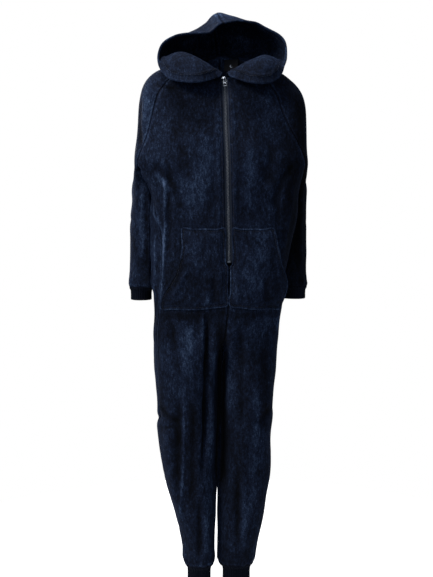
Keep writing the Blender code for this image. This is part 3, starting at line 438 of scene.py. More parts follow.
def linesOf(mesh):
    # places on the sewn seams, and on the open edges
    shape = bmesh.new()
    shape.from_mesh(mesh)
    seams, edges = set(), set()
    for edge in shape.edges:
        if len(edge.link_faces) == 1:
            edges.update(vertex.index for vertex in edge.verts)
        elif edge.link_faces[0].material_index != edge.link_faces[1].material_index:
            seams.update(vertex.index for vertex in edge.verts)
    shape.free()
    return sorted(seams), sorted(edges)


def reachTo(points, places):
    tree = KDTree(len(places))
    for index, place in enumerate(places):
        tree.insert(place, index)
    tree.balance()
    return np.array([tree.find(point)[2] for point in points])


def roughness(points, size, seed):
    return np.array([noise.noise(Vector((x / size + seed, y / size, z / size))) for x, y, z in points])


def either(members, names):
    chosen = np.zeros(len(next(iter(members.values()))), bool)
    for name in names.split():
        chosen |= members[name]
    return chosen


def closeGaps(mesh, points, members):
    # facing cloth bulges over until it all but meets
    faces = [tuple(polygon.vertices) for polygon in mesh.polygons]
    shifts = np.zeros_like(points)
    normals = getPoints(mesh, "normal")
    for first, second, (top, topEnd, footEnd, foot), (near, far) in touching:
        for these, those in ((first, second), (second, first)):
            others = either(members, those)
            wall = [face for face in faces if all(others[i] for i in face)]
            tree = BVHTree.FromPolygons([Vector(p) for p in points], wall)
            mine = either(members, these) & (points[:, 2] < top) & (points[:, 2] > foot)
            for i in np.nonzero(mine)[0]:
                spot, _, _, gap = tree.find_nearest(Vector(points[i]), far)
                if spot is None or gap < 0.0012:
                    continue
                way = (np.array(spot) - points[i]) / gap
                facing = step(-0.1, 0.4, way @ normals[i])
                level = step(top, topEnd, points[i, 2]) * step(foot, footEnd, points[i, 2])
                shifts[i] += way * (gap / 2 - 0.0005) * (1 - step(near, far, gap)) * facing * level
    return points + shifts


def shapeSkin(mesh):
    points, members = getPoints(mesh), memberships(mesh)
    seams, edges = linesOf(mesh)
    hood = members["hoodRight"] | members["hoodLeft"]
    rimPlaces = [i for i in edges if hood[i] and (abs(points[i, 0]) > 0.0118 or points[i, 2] > 0.05)]
    toRim = np.full(len(points), 9.0)
    toRim[hood] = reachTo(points[hood], points[rimPlaces])
    sag = hoodRim["drop"] * np.exp(-(points[:, 0] / hoodRim["peakWidth"]) ** 2) + hoodRim["sides"]
    share = (1 - step(0.0, hoodRim["reach"], toRim)) * step(0.045, 0.12, points[:, 2]) * hood
    points[:, 2] -= sag * share
    points[:, 1] -= hoodRim["forward"] * share
    slump = np.interp(points[:, 0], *zip(*hoodPeak))     # the empty crown leans to one side
    points[:, 2] += slump * step(0.04, 0.13, points[:, 2]) * hood
    for name, side in (("frontRight", -1), ("frontLeft", 1)):
        own = [i for i in edges if members[name][i] and -0.56 < points[i, 2] < -0.01 and abs(points[i, 0]) < 0.03]
        near = np.zeros(len(points))
        near[members[name]] = 1 - step(0.0, zipGap["reach"], reachTo(points[members[name]], points[own]))
        ends = step(-0.556, -0.530, points[:, 2])
        points[:, 0] += side * zipGap["open"] * near * ends
    setPoints(mesh, points)
    points = closeGaps(mesh, points, members)
    setPoints(mesh, points)
    normals = getPoints(mesh, "normal")
    toSeam = reachTo(points, points[seams])
    moved, paintedLightAndNap = pressCreases(points, normals, members)
    paintedLightAndNap += paintLightAndNapPatches(points, normals, members)
    ribs = np.zeros(len(points), bool)
    for name, cut in cloth.items():
        if cut["slot"] == "rib":
            ribs |= members[name]
    soft = np.where(ribs, 0.0, 1.0)
    quiet = step(0.0, 0.02, toSeam)                      # cloth is held still along a seam
    moved += soft * quiet * fleece["slack"] * roughness(points, fleece["slackSize"], 3.0)
    moved += soft * quiet * fleece["ripple"] * roughness(points * (1, 1, 0.6), fleece["rippleSize"], 9.0)
    pucker = roughness(points, fleece["puckerLength"], 21.0)
    moved += soft * fleece["pucker"] * pucker * np.exp(-(toSeam / fleece["puckerReach"]) ** 2)
    moved -= fleece["seamDip"] * np.exp(-(toSeam / fleece["seamReach"]) ** 2)
    toRim[hood] = reachTo(points[hood], points[rimPlaces])
    # painted highlight just beside each seam and painted shade in its dip; painted highlight on the hood's rim and
    # painted shade along the hem's stitch groove
    paintedLightAndNap += paintedLightStrengths["seamHighlight"] * np.exp(-((toSeam - 0.0055) / 0.003) ** 2) * soft
    paintedLightAndNap += paintedLightStrengths["seamShade"] * np.exp(-(toSeam / 0.0025) ** 2) * soft
    paintedLightAndNap += paintedLightStrengths["hemHighlight"] * np.exp(-(toRim / 0.006) ** 2) * hood
    paintedLightAndNap += 0.5 * paintedLightStrengths["seamShade"] * np.exp(-((toRim - fleece["hemWidth"]) / 0.003) ** 2) * hood
    hem = fleece["hemWidth"]
    moved += fleece["hemRise"] * step(hem, hem - 0.005, toRim) * hood
    moved -= fleece["hemRise"] * np.exp(-((toRim - hem) / fleece["hemGroove"]) ** 2) * hood
    for name, (level, reach, pleats, depth) in gathers.items():
        index = np.nonzero(members[name] & (points[:, 2] < level + reach))[0]
        side = "right" if "Right" in name else "left"
        low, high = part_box(("wrist_cuff_" if "sleeve" in name else "ankle_cuff_") + side)
        middle = (low + high) / 2
        turn = np.arctan2(points[index, 1] - middle.y, points[index, 0] - middle.x)
        wave = np.cos(turn * pleats + 1.3 * np.sin(turn * 3) + 0.9)
        fade = (1 - step(level + 0.004, level + reach, points[index, 2])) * (0.6 + 0.4 * np.sin(turn * 5 + 1))
        once = 1.0 if "sleeve" in name else np.where(toSeam[index] < 1e-5, 0.5, 1.0)
        moved[index] += depth * wave * fade * once
    setPoints(mesh, points + normals * moved[:, None])
    keepPaintedLightAndNap(mesh, paintedLightAndNap)
    return members, rimPlaces


def solidPiece(name, mesh, wall, material, rimWall=None):
    # a wall of cloth: the skin is its outer face
    piece = newObject(name, mesh, [material])
    thick = piece.modifiers.new("wall", "SOLIDIFY")
    thick.thickness, thick.offset = wall, -1.0
    thick.use_even_offset, thick.use_quality_normals = False, True
    if rimWall is not None:
        group = piece.vertex_groups.new(name="hem")
        for index, share in rimWall:
            group.add([index], share, "REPLACE")
        thick.vertex_group, thick.thickness = "hem", 2 * wall
        thick.thickness_vertex_group = 0.5
    done = evaluated(piece, name)
    done.shade_smooth()
    bpy.data.objects.remove(piece)
    bpy.data.meshes.remove(mesh)
    done.name = name
    return newObject(name, done)


def cutOut(mesh, index, name):
    shape = bmesh.new()
    shape.from_mesh(mesh)
    bmesh.ops.delete(shape, geom=[face for face in shape.faces if face.material_index != index], context="FACES")
    for face in shape.faces:
        face.material_index = 0
        face.smooth = True
    return toMesh(shape, name)


ribKnit = {"ribs": 40, "depth": 0.0009, "sway": 0.0012,      # a 2x2 rib, about 5 mm from rib to rib
           "swayStart": {"wristCuffRight": 0, "wristCuffLeft": 1, "ankleCuffRight": 1, "ankleCuffLeft": 2}}


def knitRibs(name, mesh):
    fine = smoothed(mesh, 1, 0)
    points, normals = getPoints(fine), getPoints(fine, "normal")
    middle = points.mean(axis=0)
    turn = np.arctan2(points[:, 1] - middle[1], points[:, 0] - middle[0])
    top, bottom = points[:, 2].max(), points[:, 2].min()
    fade = step(0.0, 0.004, top - points[:, 2]) * (0.45 + 0.55 * step(0.0, 0.004, points[:, 2] - bottom))
    wave = np.cos(turn * ribKnit["ribs"])
    points = points + normals * (ribKnit["depth"] * np.sign(wave) * np.abs(wave) ** 0.6 * fade)[:, None]
    sway = ribKnit["sway"] * np.sin(turn * 3 + ribKnit["swayStart"][name])
    points += normals * (sway * step(0, 0.02, top - points[:, 2]))[:, None]
    setPoints(fine, points)
    return fine


def linear(code):
    values = [int(code[i:i + 2], 16) / 255 for i in (1, 3, 5)]
    return tuple(v / 12.92 if v <= 0.04045 else ((v + 0.055) / 1.055) ** 2.4 for v in values) + (1.0,)


def addNode(tree, kind, settings=None, links=None):
    node = tree.nodes.new(kind)
    for name, value in (settings or {}).items():
        if isinstance(name, int) or name in node.inputs:
            node.inputs[name].default_value = value
        else:
            setattr(node, name, value)
    for name, source in (links or {}).items():
        tree.links.new(source, node.inputs[name])
    return node


def newMaterial(name):
    material = bpy.data.materials.new(name)
    material.use_nodes = True
    tree = material.node_tree
    tree.nodes.clear()
    return material, tree


def finish(tree, settings, links):
    shader = addNode(tree, "ShaderNodeBsdfPrincipled", settings, links)
    addNode(tree, "ShaderNodeOutputMaterial", None, {"Surface": shader.outputs[0]})


def ramp(tree, source, stops):
    node = addNode(tree, "ShaderNodeValToRGB", None, {"Fac": source})
    while len(node.color_ramp.elements) < len(stops):
        node.color_ramp.elements.new(0.5)
    for element, (position, code) in zip(node.color_ramp.elements, stops):
        element.position, element.color = position, linear(code)
    return node.outputs["Color"]


# Flannel fleece: brushed polyester pile, 1 to 2 mm long. It scatters light softly, catches it at grazing angles,
# and lies in patches of lighter and darker tone; its colour also carries painted highlight and painted shade.
plushLooks = {"patch": (0.075, 0.40), "mottle": (0.013, 0.40), "tuft": (0.0050, 0.55), "pile": (0.0026, 0.45),
              "ramp": [(0.18, "#040508"), (0.42, "#0c111d"), (0.58, "#161f32"), (0.74, "#2a384f"), (1.0, "#526482")]}


def plushFleece():
    material, tree = newMaterial("navyFlannelFleece")
    place = addNode(tree, "ShaderNodeTexCoord").outputs["Object"]
    hung = addNode(tree, "ShaderNodeMapping", {"Scale": (1.0, 1.0, 0.5)}, {"Vector": place}).outputs[0]
    # painted highlight and painted shade, with the nap patches, come from the mesh; the noise below adds the fleece's
    # own mottle
    total = addNode(tree, "ShaderNodeAttribute", {"attribute_name": "paintedLightAndNap"}).outputs["Fac"]
    layers = {}
    for name, detail, along in (("patch", 3.0, hung), ("mottle", 3.0, hung), ("tuft", 2.0, hung),
                                ("pile", 1.0, place)):
        size, weight = plushLooks[name]
        layers[name] = addNode(tree, "ShaderNodeTexNoise", {"Scale": 1 / size, "Detail": detail, "Roughness": 0.6},
                               {"Vector": along}).outputs[0]
        total = addNode(tree, "ShaderNodeMath", {"operation": "MULTIPLY_ADD", 1: weight},
                        {0: layers[name], 2: total}).outputs[0]
    weights = sum(plushLooks[name][1] for name in layers)
    total = addNode(tree, "ShaderNodeMath", {"operation": "ADD", 1: 0.5 - weights / 2}, {0: total}).outputs[0]
    colour = ramp(tree, total, plushLooks["ramp"])
    soft = addNode(tree, "ShaderNodeBump", {"Strength": 0.5, "Distance": 0.0030},
                   {"Height": layers["mottle"]}).outputs[0]
    tufts = addNode(tree, "ShaderNodeBump", {"Strength": 0.7, "Distance": 0.0016},
                    {"Height": layers["tuft"], "Normal": soft}).outputs[0]
    finish(tree, {"Roughness": 0.88, "IOR": 1.5, "Specular IOR Level": 0.06, "Sheen Weight": 0.08,
                  "Sheen Roughness": 0.32, "Sheen Tint": linear("#5a7cbc")},
           {"Base Color": colour, "Normal": tufts})
    return material


def ribKnitCloth():
    material, tree = newMaterial("navyRibKnit")
    place = addNode(tree, "ShaderNodeTexCoord").outputs["Object"]
    rows = addNode(tree, "ShaderNodeTexWave", {"wave_type": "BANDS", "bands_direction": "Z",
                   "Scale": 1 / 0.0016 / 6.28, "Distortion": 1.5, "Detail": 2.0, "Detail Scale": 40.0},
                   {"Vector": place}).outputs[0]
    fuzz = addNode(tree, "ShaderNodeTexNoise", {"Scale": 1 / 0.0012, "Detail": 3.0}, {"Vector": place}).outputs[0]
    both = addNode(tree, "ShaderNodeMix", {"data_type": "FLOAT", 0: 0.5}, {2: rows, 3: fuzz}).outputs[0]
    colour = ramp(tree, both, [(0.25, "#04060b"), (0.55, "#090d17"), (0.85, "#111828")])
    bump = addNode(tree, "ShaderNodeBump", {"Strength": 0.5, "Distance": 0.0006}, {"Height": both}).outputs[0]
    finish(tree, {"Roughness": 0.9, "IOR": 1.5, "Specular IOR Level": 0.06, "Sheen Weight": 0.04,
                  "Sheen Roughness": 0.5, "Sheen Tint": linear("#7f97bb")}, {"Base Color": colour, "Normal": bump})
    return material


def wovenTape():
    material, tree = newMaterial("wovenPolyesterTape")
    place = addNode(tree, "ShaderNodeTexCoord").outputs["Object"]
    rows = addNode(tree, "ShaderNodeTexWave", {"wave_type": "BANDS", "bands_direction": "Z",
                   "Scale": 1 / 0.0012 / 6.28, "Distortion": 0.6, "Detail": 1.0}, {"Vector": place}).outputs[0]
    ends = addNode(tree, "ShaderNodeTexWave", {"wave_type": "BANDS", "bands_direction": "X",
                   "Scale": 1 / 0.0012 / 6.28}, {"Vector": place}).outputs[0]
    weave = addNode(tree, "ShaderNodeMath", {"operation": "MULTIPLY"}, {0: rows, 1: ends}).outputs[0]
    colour = ramp(tree, weave, [(0.0, "#121926"), (0.5, "#212c3d"), (1.0, "#3d4a60")])
    bump = addNode(tree, "ShaderNodeBump", {"Strength": 0.6, "Distance": 0.0004}, {"Height": weave}).outputs[0]
    finish(tree, {"Roughness": 0.75, "IOR": 1.5, "Specular IOR Level": 0.4}, {"Base Color": colour, "Normal": bump})
    return material


def zipMetal(name, dark, light):
    # nickel plate: grey, satin, with fine wear; the teeth are polished lighter than the cast slider
    material, tree = newMaterial(name)
    place = addNode(tree, "ShaderNodeTexCoord").outputs["Object"]
    wear = addNode(tree, "ShaderNodeTexNoise", {"Scale": 1 / 0.0016, "Detail": 4.0}, {"Vector": place}).outputs[0]
    colour = ramp(tree, wear, [(0.3, dark), (0.7, light)])
    rough = addNode(tree, "ShaderNodeMapRange", {"To Min": 0.22, "To Max": 0.42}, {"Value": wear}).outputs[0]
    bump = addNode(tree, "ShaderNodeBump", {"Strength": 0.15, "Distance": 0.0001}, {"Height": wear}).outputs[0]
    finish(tree, {"Metallic": 1.0}, {"Base Color": colour, "Roughness": rough, "Normal": bump})
    return material


def threadMaterial():
    material, tree = newMaterial("polyesterThread")
    place = addNode(tree, "ShaderNodeTexCoord").outputs["Object"]
    ply = addNode(tree, "ShaderNodeTexNoise", {"Scale": 1 / 0.0005, "Detail": 2.0}, {"Vector": place}).outputs[0]
    colour = ramp(tree, ply, [(0.3, "#131a28"), (0.7, "#2a3548")])
    bump = addNode(tree, "ShaderNodeBump", {"Strength": 0.3, "Distance": 0.0001}, {"Height": ply}).outputs[0]
    finish(tree, {"Roughness": 0.6, "IOR": 1.5}, {"Base Color": colour, "Normal": bump})
    return material


def wovenLabel():
    # damask label: near-black satin ground with fine ribs and a small light moon
    material, tree = newMaterial("wovenDamaskLabel")
    flat = addNode(tree, "ShaderNodeUVMap", {"uv_map": "label"}).outputs[0]
    ribs = addNode(tree, "ShaderNodeTexWave", {"wave_type": "BANDS", "bands_direction": "Y",
                   "Scale": 1 / 0.0009 / 6.28}, {"Vector": flat}).outputs[0]
    disc = addNode(tree, "ShaderNodeVectorMath", {"operation": "DISTANCE", 1: (0.0, -0.019, 0.0)},
                   {0: flat}).outputs["Value"]
    bite = addNode(tree, "ShaderNodeVectorMath", {"operation": "DISTANCE", 1: (0.0022, -0.0178, 0.0)},
                   {0: flat}).outputs["Value"]
    inDisc = addNode(tree, "ShaderNodeMath", {"operation": "LESS_THAN", 1: 0.0042}, {0: disc}).outputs[0]
    outBite = addNode(tree, "ShaderNodeMath", {"operation": "GREATER_THAN", 1: 0.0036}, {0: bite}).outputs[0]
    moon = addNode(tree, "ShaderNodeMath", {"operation": "MULTIPLY"}, {0: inDisc, 1: outBite}).outputs[0]
    ground = ramp(tree, ribs, [(0.0, "#05060a"), (1.0, "#0e1118")])
    colour = addNode(tree, "ShaderNodeMix", {"data_type": "RGBA", 7: linear("#8d97a6")},
                     {0: moon, 6: ground}).outputs[2]
    bump = addNode(tree, "ShaderNodeBump", {"Strength": 0.4, "Distance": 0.0002}, {"Height": ribs}).outputs[0]
    finish(tree, {"Roughness": 0.8, "IOR": 1.5, "Specular IOR Level": 0.15}, {"Base Color": colour, "Normal": bump})
    return material


plush, rib, tape = plushFleece(), ribKnitCloth(), wovenTape()
metal = zipMetal("nickelPlatedZinc", "#4e5259", "#90959d")
teethMetal = zipMetal("nickelPlatedBrass", "#6d727a", "#b4b9c0")
thread, label = threadMaterial(), wovenLabel()
clothMaterials = {"plush": plush, "rib": rib}


stitching = {"length": 0.0030, "pitch": 0.0042, "radius": 0.00042, "sunk": 0.4,
             "hoodHem": 0.0225, "hemWall": 0.0050, "besideZip": 0.0055}


def stitchRow(name, places, normals):
    # short thread stitches along a line of places, each lying on the cloth
    length, pitch, radius = (stitching[key] for key in ("length", "pitch", "radius"))
    shape = bmesh.new()
    run = 0.0
    for start, end, out in zip(places, places[1:], normals):
        way = end - start
        while run < way.length:
            along = way.normalized()
            side = out.cross(along).normalized()
            turn = Matrix((along, side, side.cross(along) * -1)).transposed().to_4x4()
            spot = Matrix.Translation(start + along * run + out * radius * stitching["sunk"])
            size = Matrix.Diagonal((length / 2, radius, radius, 1.0))
            bmesh.ops.create_icosphere(shape, subdivisions=1, radius=1.0, matrix=spot @ turn @ size)
            run += pitch
        run -= way.length
    bmesh.ops.recalc_face_normals(shape, faces=shape.faces)
    mesh = toMesh(shape, name)
    mesh.shade_smooth()
    return newObject(name, mesh, [thread])


def orderedEdge(mesh, chosen):
    # vertices of an open edge, in order, for those that are chosen
    near = {}
    shape = bmesh.new()
    shape.from_mesh(mesh)
    for edge in shape.edges:
        if len(edge.link_faces) == 1 and all(chosen(vertex.co) for vertex in edge.verts):
            a, b = (vertex.index for vertex in edge.verts)
            near.setdefault(a, []).append(b)
            near.setdefault(b, []).append(a)
    places = {vertex.index: vertex.co.copy() for vertex in shape.verts if vertex.index in near}
    shape.free()
    if not near:
        return []
    line = [min((i for i in near if len(near[i]) == 1), key=lambda i: places[i].x, default=min(near))]
    seen = set(line)
    while True:
        following = [i for i in near[line[-1]] if i not in seen]
        if not following:
            break
        line.append(following[0])
        seen.add(following[0])
    return [places[i] for i in line]


def insetLine(tree, line, distance):
    # the same line moved into the cloth, and dropped back onto its surface
    found, normals = [], []
    for before, place, after in zip(line, line[1:], line[2:]):
        along = (after - before).normalized()
        _, out, _, _ = tree.find_nearest(place)
        inwards = out.cross(along).normalized()
        for way in (inwards, -inwards):
            spot, normal, _, gap = tree.find_nearest(place + way * distance)
            if gap < distance * 0.45:
                found.append(spot)
                normals.append(normal)
                break
    return found, normals


zipSizes = {"pitch": 0.00185, "tooth": (0.0034, 0.0024, 0.00125), "offset": 0.0014, "bevel": 0.0003,
            "tapeInner": 0.00012, "tapeWidth": 0.0135, "tapeWall": 0.0009, "tapeBack": 0.0031,
            "top": -0.020, "lastTooth": -0.0335, "foot": -0.5262, "sunk": 0.0010}


def zipLine(mesh, members):
    # centre line of the slot between the fronts, from the two edges of the skin
    points = getPoints(mesh)
    _, edges = linesOf(mesh)
    sides = []
    for name in ("frontRight", "frontLeft"):
        edge = points[[i for i in edges if members[name][i] and points[i, 2] > -0.545 and abs(points[i, 0]) < 0.03]]
        sides.append(edge[edge[:, 2].argsort()])
    levels = np.linspace(zipSizes["foot"] - 0.006, zipSizes["top"] + 0.003, 180)
    rows = []
    for z in levels:
        right, left = (np.array([np.interp(z, side[:, 2], side[:, k]) for k in (0, 1)]) for side in sides)
        rows.append((*((right + left) / 2), z))
    return np.array(rows)


def zipTeeth(line):
    shape = bmesh.new()
    levels = np.arange(zipSizes["foot"], zipSizes["lastTooth"], zipSizes["pitch"])
    for number, z in enumerate(levels):
        x, y = (np.interp(z, line[:, 2], line[:, k]) for k in (0, 1))
        slope = np.interp(z + 0.005, line[:, 2], line[:, 1]) - np.interp(z - 0.005, line[:, 2], line[:, 1])
        tilt = Matrix.Rotation(math.atan2(-slope, 0.010), 4, "X")
        side = 1 if number % 2 else -1
        spot = Matrix.Translation((x + side * zipSizes["offset"], y + zipSizes["sunk"], z))
        made = bmesh.ops.create_cube(shape, size=1.0, matrix=spot @ tilt @ Matrix.Diagonal((*zipSizes["tooth"], 1.0)))
        bmesh.ops.bevel(shape, geom=list({edge for vertex in made["verts"] for edge in vertex.link_edges}),
                        offset=zipSizes["bevel"], offset_type="OFFSET", affect="EDGES", segments=1, profile=0.5,
                        material=-1)
    return newObject("zipTeeth", toMesh(shape, "zipTeeth"), [teethMetal])


def zipTape(name, line, side):
    shape = bmesh.new()
    inner, wide = zipSizes["tapeInner"], zipSizes["tapeWidth"]
    rows = []
    for x, y, z in line[::3]:
        rows.append([shape.verts.new((x + side * (inner + (wide - inner) * share), y + zipSizes["tapeBack"], z))
                     for share in (0, 0.12, 0.3, 0.55, 0.8, 1.0)])
    for lower, upper in zip(rows, rows[1:]):
        for a, b, c, d in zip(lower, lower[1:], upper[1:], upper):
            shape.faces.new((a, b, c, d) if side > 0 else (d, c, b, a))
    mesh = toMesh(shape, name)
    return solidPiece(name, mesh, zipSizes["tapeWall"], tape)


def softened(node, name, material, bevel):
    # a frame node's own shape with its edges rounded off
    shape = bmesh.new()
    shape.from_mesh(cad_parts[node].data)
    bmesh.ops.remove_doubles(shape, verts=shape.verts, dist=1e-5)
    bmesh.ops.dissolve_limit(shape, angle_limit=math.radians(1.5), verts=shape.verts, edges=shape.edges)
    sharp = [edge for edge in shape.edges if len(edge.link_faces) == 2 and edge.calc_face_angle() > 0.5
             and edge.calc_length() > 2.2 * bevel]
    bmesh.ops.bevel(shape, geom=sharp, offset=bevel, offset_type="OFFSET", affect="EDGES", segments=2,
                    profile=0.5, material=-1, clamp_overlap=True)
    bmesh.ops.recalc_face_normals(shape, faces=shape.faces)
    for face in shape.faces:
        face.smooth = True
    mesh = toMesh(shape, name)
    mesh.set_sharp_from_angle(angle=math.radians(40))
    return newObject(name, mesh, [material])


labelCurl = {"across": 15.0, "down": 2.0, "drop": 0.034}


def neckLabel():
    # a satin label that curls a little away from the neck; its flat place is kept for the motif
    shape = bmesh.new()
    shape.from_mesh(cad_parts["neck_label"].data)
    bmesh.ops.remove_doubles(shape, verts=shape.verts, dist=1e-5)
    bmesh.ops.dissolve_limit(shape, angle_limit=0.02, verts=shape.verts, edges=shape.edges)
    bmesh.ops.subdivide_edges(shape, edges=[edge for edge in shape.edges if edge.calc_length() > 0.01],
                              cuts=9, use_grid_fill=True)
    points = [vertex.co.copy() for vertex in shape.verts]
    middle = sum(points, Vector()) / len(points)
    top = max(point.z for point in points)
    turn = Matrix.Rotation(math.radians(17), 4, "Z")
    flat = shape.loops.layers.uv.new("label")
    for face in shape.faces:
        for loop in face.loops:
            spot = turn @ (loop.vert.co - middle)
            loop[flat].uv = (spot.x, loop.vert.co.z - top)
    for vertex in shape.verts:
        spot = turn @ (vertex.co - middle)
        down = top - vertex.co.z
        curl = labelCurl["across"] * spot.x ** 2 * down / labelCurl["drop"] + labelCurl["down"] * down ** 2
        vertex.co += turn.inverted() @ Vector((0, -curl, 0))
    mesh = toMesh(shape, "neckLabel")
    mesh.shade_smooth()
    mesh.set_sharp_from_angle(angle=math.radians(40))
    return newObject("neckLabel", mesh, [label])


pocketCut = {"lift": 0.011, "seat": 0.0029, "reach": 0.022, "hem": 0.0065, "levels": 4,
             "right": dict(node="pocket_right", flat=(0.20, 0.23), area=0.036),
             "left": dict(node="pocket_left", flat=(0.19, 0.23), area=0.034)}
pocketFolds = {
    "right": (((-0.123, -0.515), (-0.146, -0.575), (-0.170, -0.622), 0.0070, -0.0040),
              ((-0.104, -0.545), (-0.134, -0.605), (-0.150, -0.640), 0.0060, 0.0035),
              ((-0.060, -0.600), (-0.050, -0.635), (-0.048, -0.655), 0.0080, 0.0035),
              ((-0.034, -0.560), (-0.030, -0.620), (-0.032, -0.655), 0.0070, -0.0030),
              ((-0.080, -0.460), (-0.088, -0.520), (-0.076, -0.580), 0.0200, 0.0025)),
    "left": (((0.150, -0.480), (0.148, -0.540), (0.156, -0.600), 0.0060, 0.0030),
             ((0.060, -0.480), (0.072, -0.540), (0.060, -0.600), 0.0200, 0.0030),
             ((0.110, -0.560), (0.118, -0.610), (0.112, -0.650), 0.0090, -0.0030),
             ((0.030, -0.590), (0.034, -0.640), (0.040, -0.655), 0.0080, 0.0030)),
}

# patches on each pocket, painted highlight (+) and painted shade (-): x, z, width, height, amount
pocketPaintedLightAndNap = {"right": ((-0.150, -0.470, 0.020, 0.040, 0.10), (-0.110, -0.560, 0.030, 0.050, -0.08)),
               "left": ((0.100, -0.500, 0.020, 0.060, 0.08), (0.080, -0.590, 0.050, 0.030, 0.08),
                        (0.016, -0.590, 0.012, 0.050, 0.10), (0.060, -0.500, 0.020, 0.040, -0.03))}


def pocketPiece(side, panelTree):
    cut, name = pocketCut[side], "pocket" + side.capitalize()
    shape = outerSkin(cut["node"])
    bmesh.ops.join_triangles(shape, faces=shape.faces, angle_face_threshold=math.radians(60),
                             angle_shape_threshold=math.radians(180))
    mesh = smoothed(toMesh(shape, name + "Skin"), pocketCut["levels"])
    points, normals = getPoints(mesh), getPoints(mesh, "normal")
    _, edges = linesOf(mesh)
    rim = points[edges]
    top, bottom = rim[:, 2].max(), rim[:, 2].min()
    sewn = (rim[:, 2] > top - 0.008) | (rim[:, 2] < bottom + 0.008) | (np.abs(rim[:, 0]) < 0.030)
    toSewn, toRim = reachTo(points, rim[sewn]), reachTo(points, rim)
    free = step(0.0, pocketCut["reach"], toSewn)
    moved = np.zeros(len(points))
    for *line, width, height in pocketFolds[side]:
        distance, share = nearLine(points[:, (0, 2)], line)
        moved += height * np.exp(-(distance / width) ** 2) * step(0, 0.25, share) * step(0, 0.25, 1 - share) * free
    moved += 0.0008 * step(pocketCut["hem"], pocketCut["hem"] - 0.003, toRim)
    moved -= 0.0010 * np.exp(-((toRim - pocketCut["hem"]) / 0.0018) ** 2)
    moved += 0.0012 * roughness(points, 0.040, 31.0) * free
    for index, point in enumerate(points):
        spot, out, _, gap = panelTree.find_nearest(Vector(point))
        out = Vector(point) - spot if gap > 1e-4 and (Vector(point) - spot).dot(out) > 0 else out
        rise = pocketCut["seat"] + max(gap - pocketCut["seat"], 0.0) * free[index]
        points[index] = spot + out.normalized() * (rise + max(moved[index], -rise + 0.0027))
    middle = np.exp(-((points[:, 0] - 0.005) / 0.045) ** 2)
    points[:, 2] += (pocketCut["lift"] * middle - 0.003) * step(-0.585, -0.655, points[:, 2])
    setPoints(mesh, points)
    # painted highlight on the pocket's edges and painted shade along its stitched groove; painted highlight on its
    # ridges and painted shade in its troughs; then the listed patches of painted highlight and painted shade
    paintedLightAndNap = 0.15 * np.exp(-(toRim / 0.0045) ** 2) - 0.14 * np.exp(-((toRim - pocketCut["hem"]) / 0.002) ** 2)
    for *line, width, height in pocketFolds[side]:
        distance, share = nearLine(points[:, (0, 2)], line)
        fade = np.exp(-(distance / width) ** 2) * step(0, 0.25, share) * step(0, 0.25, 1 - share)
        paintedLightAndNap += height / 0.004 * 0.14 * fade
    for x, z, wide, high, amount in pocketPaintedLightAndNap[side]:
        paintedLightAndNap += amount * np.exp(-((points[:, 0] - x) / wide) ** 2 - ((points[:, 2] - z) / high) ** 2)
    keepPaintedLightAndNap(mesh, paintedLightAndNap)
    hemLine = orderedEdge(mesh, lambda place: True)
    tree = BVHTree.FromPolygons([v.co for v in mesh.vertices], [p.vertices for p in mesh.polygons])
    stitches, outs = insetLine(tree, hemLine, pocketCut["hem"])
    piece = solidPiece(name, mesh, 0.0025, plush)
    row = stitchRow(name + "Stitching", stitches, outs)
    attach(piece, "garment")
    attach(row, "garment")
    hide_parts(cut["node"])
    return piece


def makeGarment():
    skin = joinedSkin()
    members, rimPlaces = shapeSkin(skin)
    points = getPoints(skin)
    tree = BVHTree.FromPolygons([Vector(p) for p in points], [p.vertices for p in skin.polygons])
    line = zipLine(skin, members)
    print("skin shaped:", len(points), "points")
    _, edges = linesOf(skin)
    rimSet = {tuple(np.round(points[i], 6)) for i in rimPlaces}
    rimLine = orderedEdge(skin, lambda place: tuple(np.round(np.array(place), 6)) in rimSet)
    for index, (name, cut) in enumerate(cloth.items()):
        mesh = cutOut(skin, index, name)
        clothArea = sum(polygon.area for polygon in mesh.polygons)
        hem = None
        if cut["slot"] == "rib":
            mesh = knitRibs(name, mesh)
        if name.startswith("hood"):
            toRim = reachTo(getPoints(mesh), points[rimPlaces])
            hem = [(i, float(share)) for i, share in enumerate(step(0.026, 0.022, toRim))]
        piece = solidPiece(name, mesh, cut["wall"], clothMaterials[cut["slot"]], hem)
        if name.startswith("hood"):
            piece.vertex_groups.clear()
        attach(piece, "garment")
        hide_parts(cut["node"])
        print("  %-16s %6d faces, %.4f m2 of cloth" % (name, len(piece.data.polygons), clothArea))
    hemOut, hemNormals = insetLine(tree, rimLine, stitching["hoodHem"])
    hemRows = [stitchRow("hoodHemStitching", hemOut, hemNormals),
               stitchRow("hoodHemStitchingInside",
                         [p - n * stitching["hemWall"] for p, n in zip(hemOut, hemNormals)],
                         [-n for n in hemNormals])]
    for side, name in ((-1, "Right"), (1, "Left")):
        edge = [Vector(p) for p in points[sorted((i for i in edges if members["front" + name][i]
                and -0.545 < points[i, 2] < -0.03 and abs(points[i, 0]) < 0.03), key=lambda i: points[i, 2])]]
        spots, outs = insetLine(tree, edge, stitching["besideZip"])
        hemRows.append(stitchRow("zipStitching" + name, spots, outs))
    for row in hemRows:
        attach(row, "garment")
    for side in ("right", "left"):
        pocketPiece(side, tree)
    makeZip(line)
    bpy.data.meshes.remove(skin)


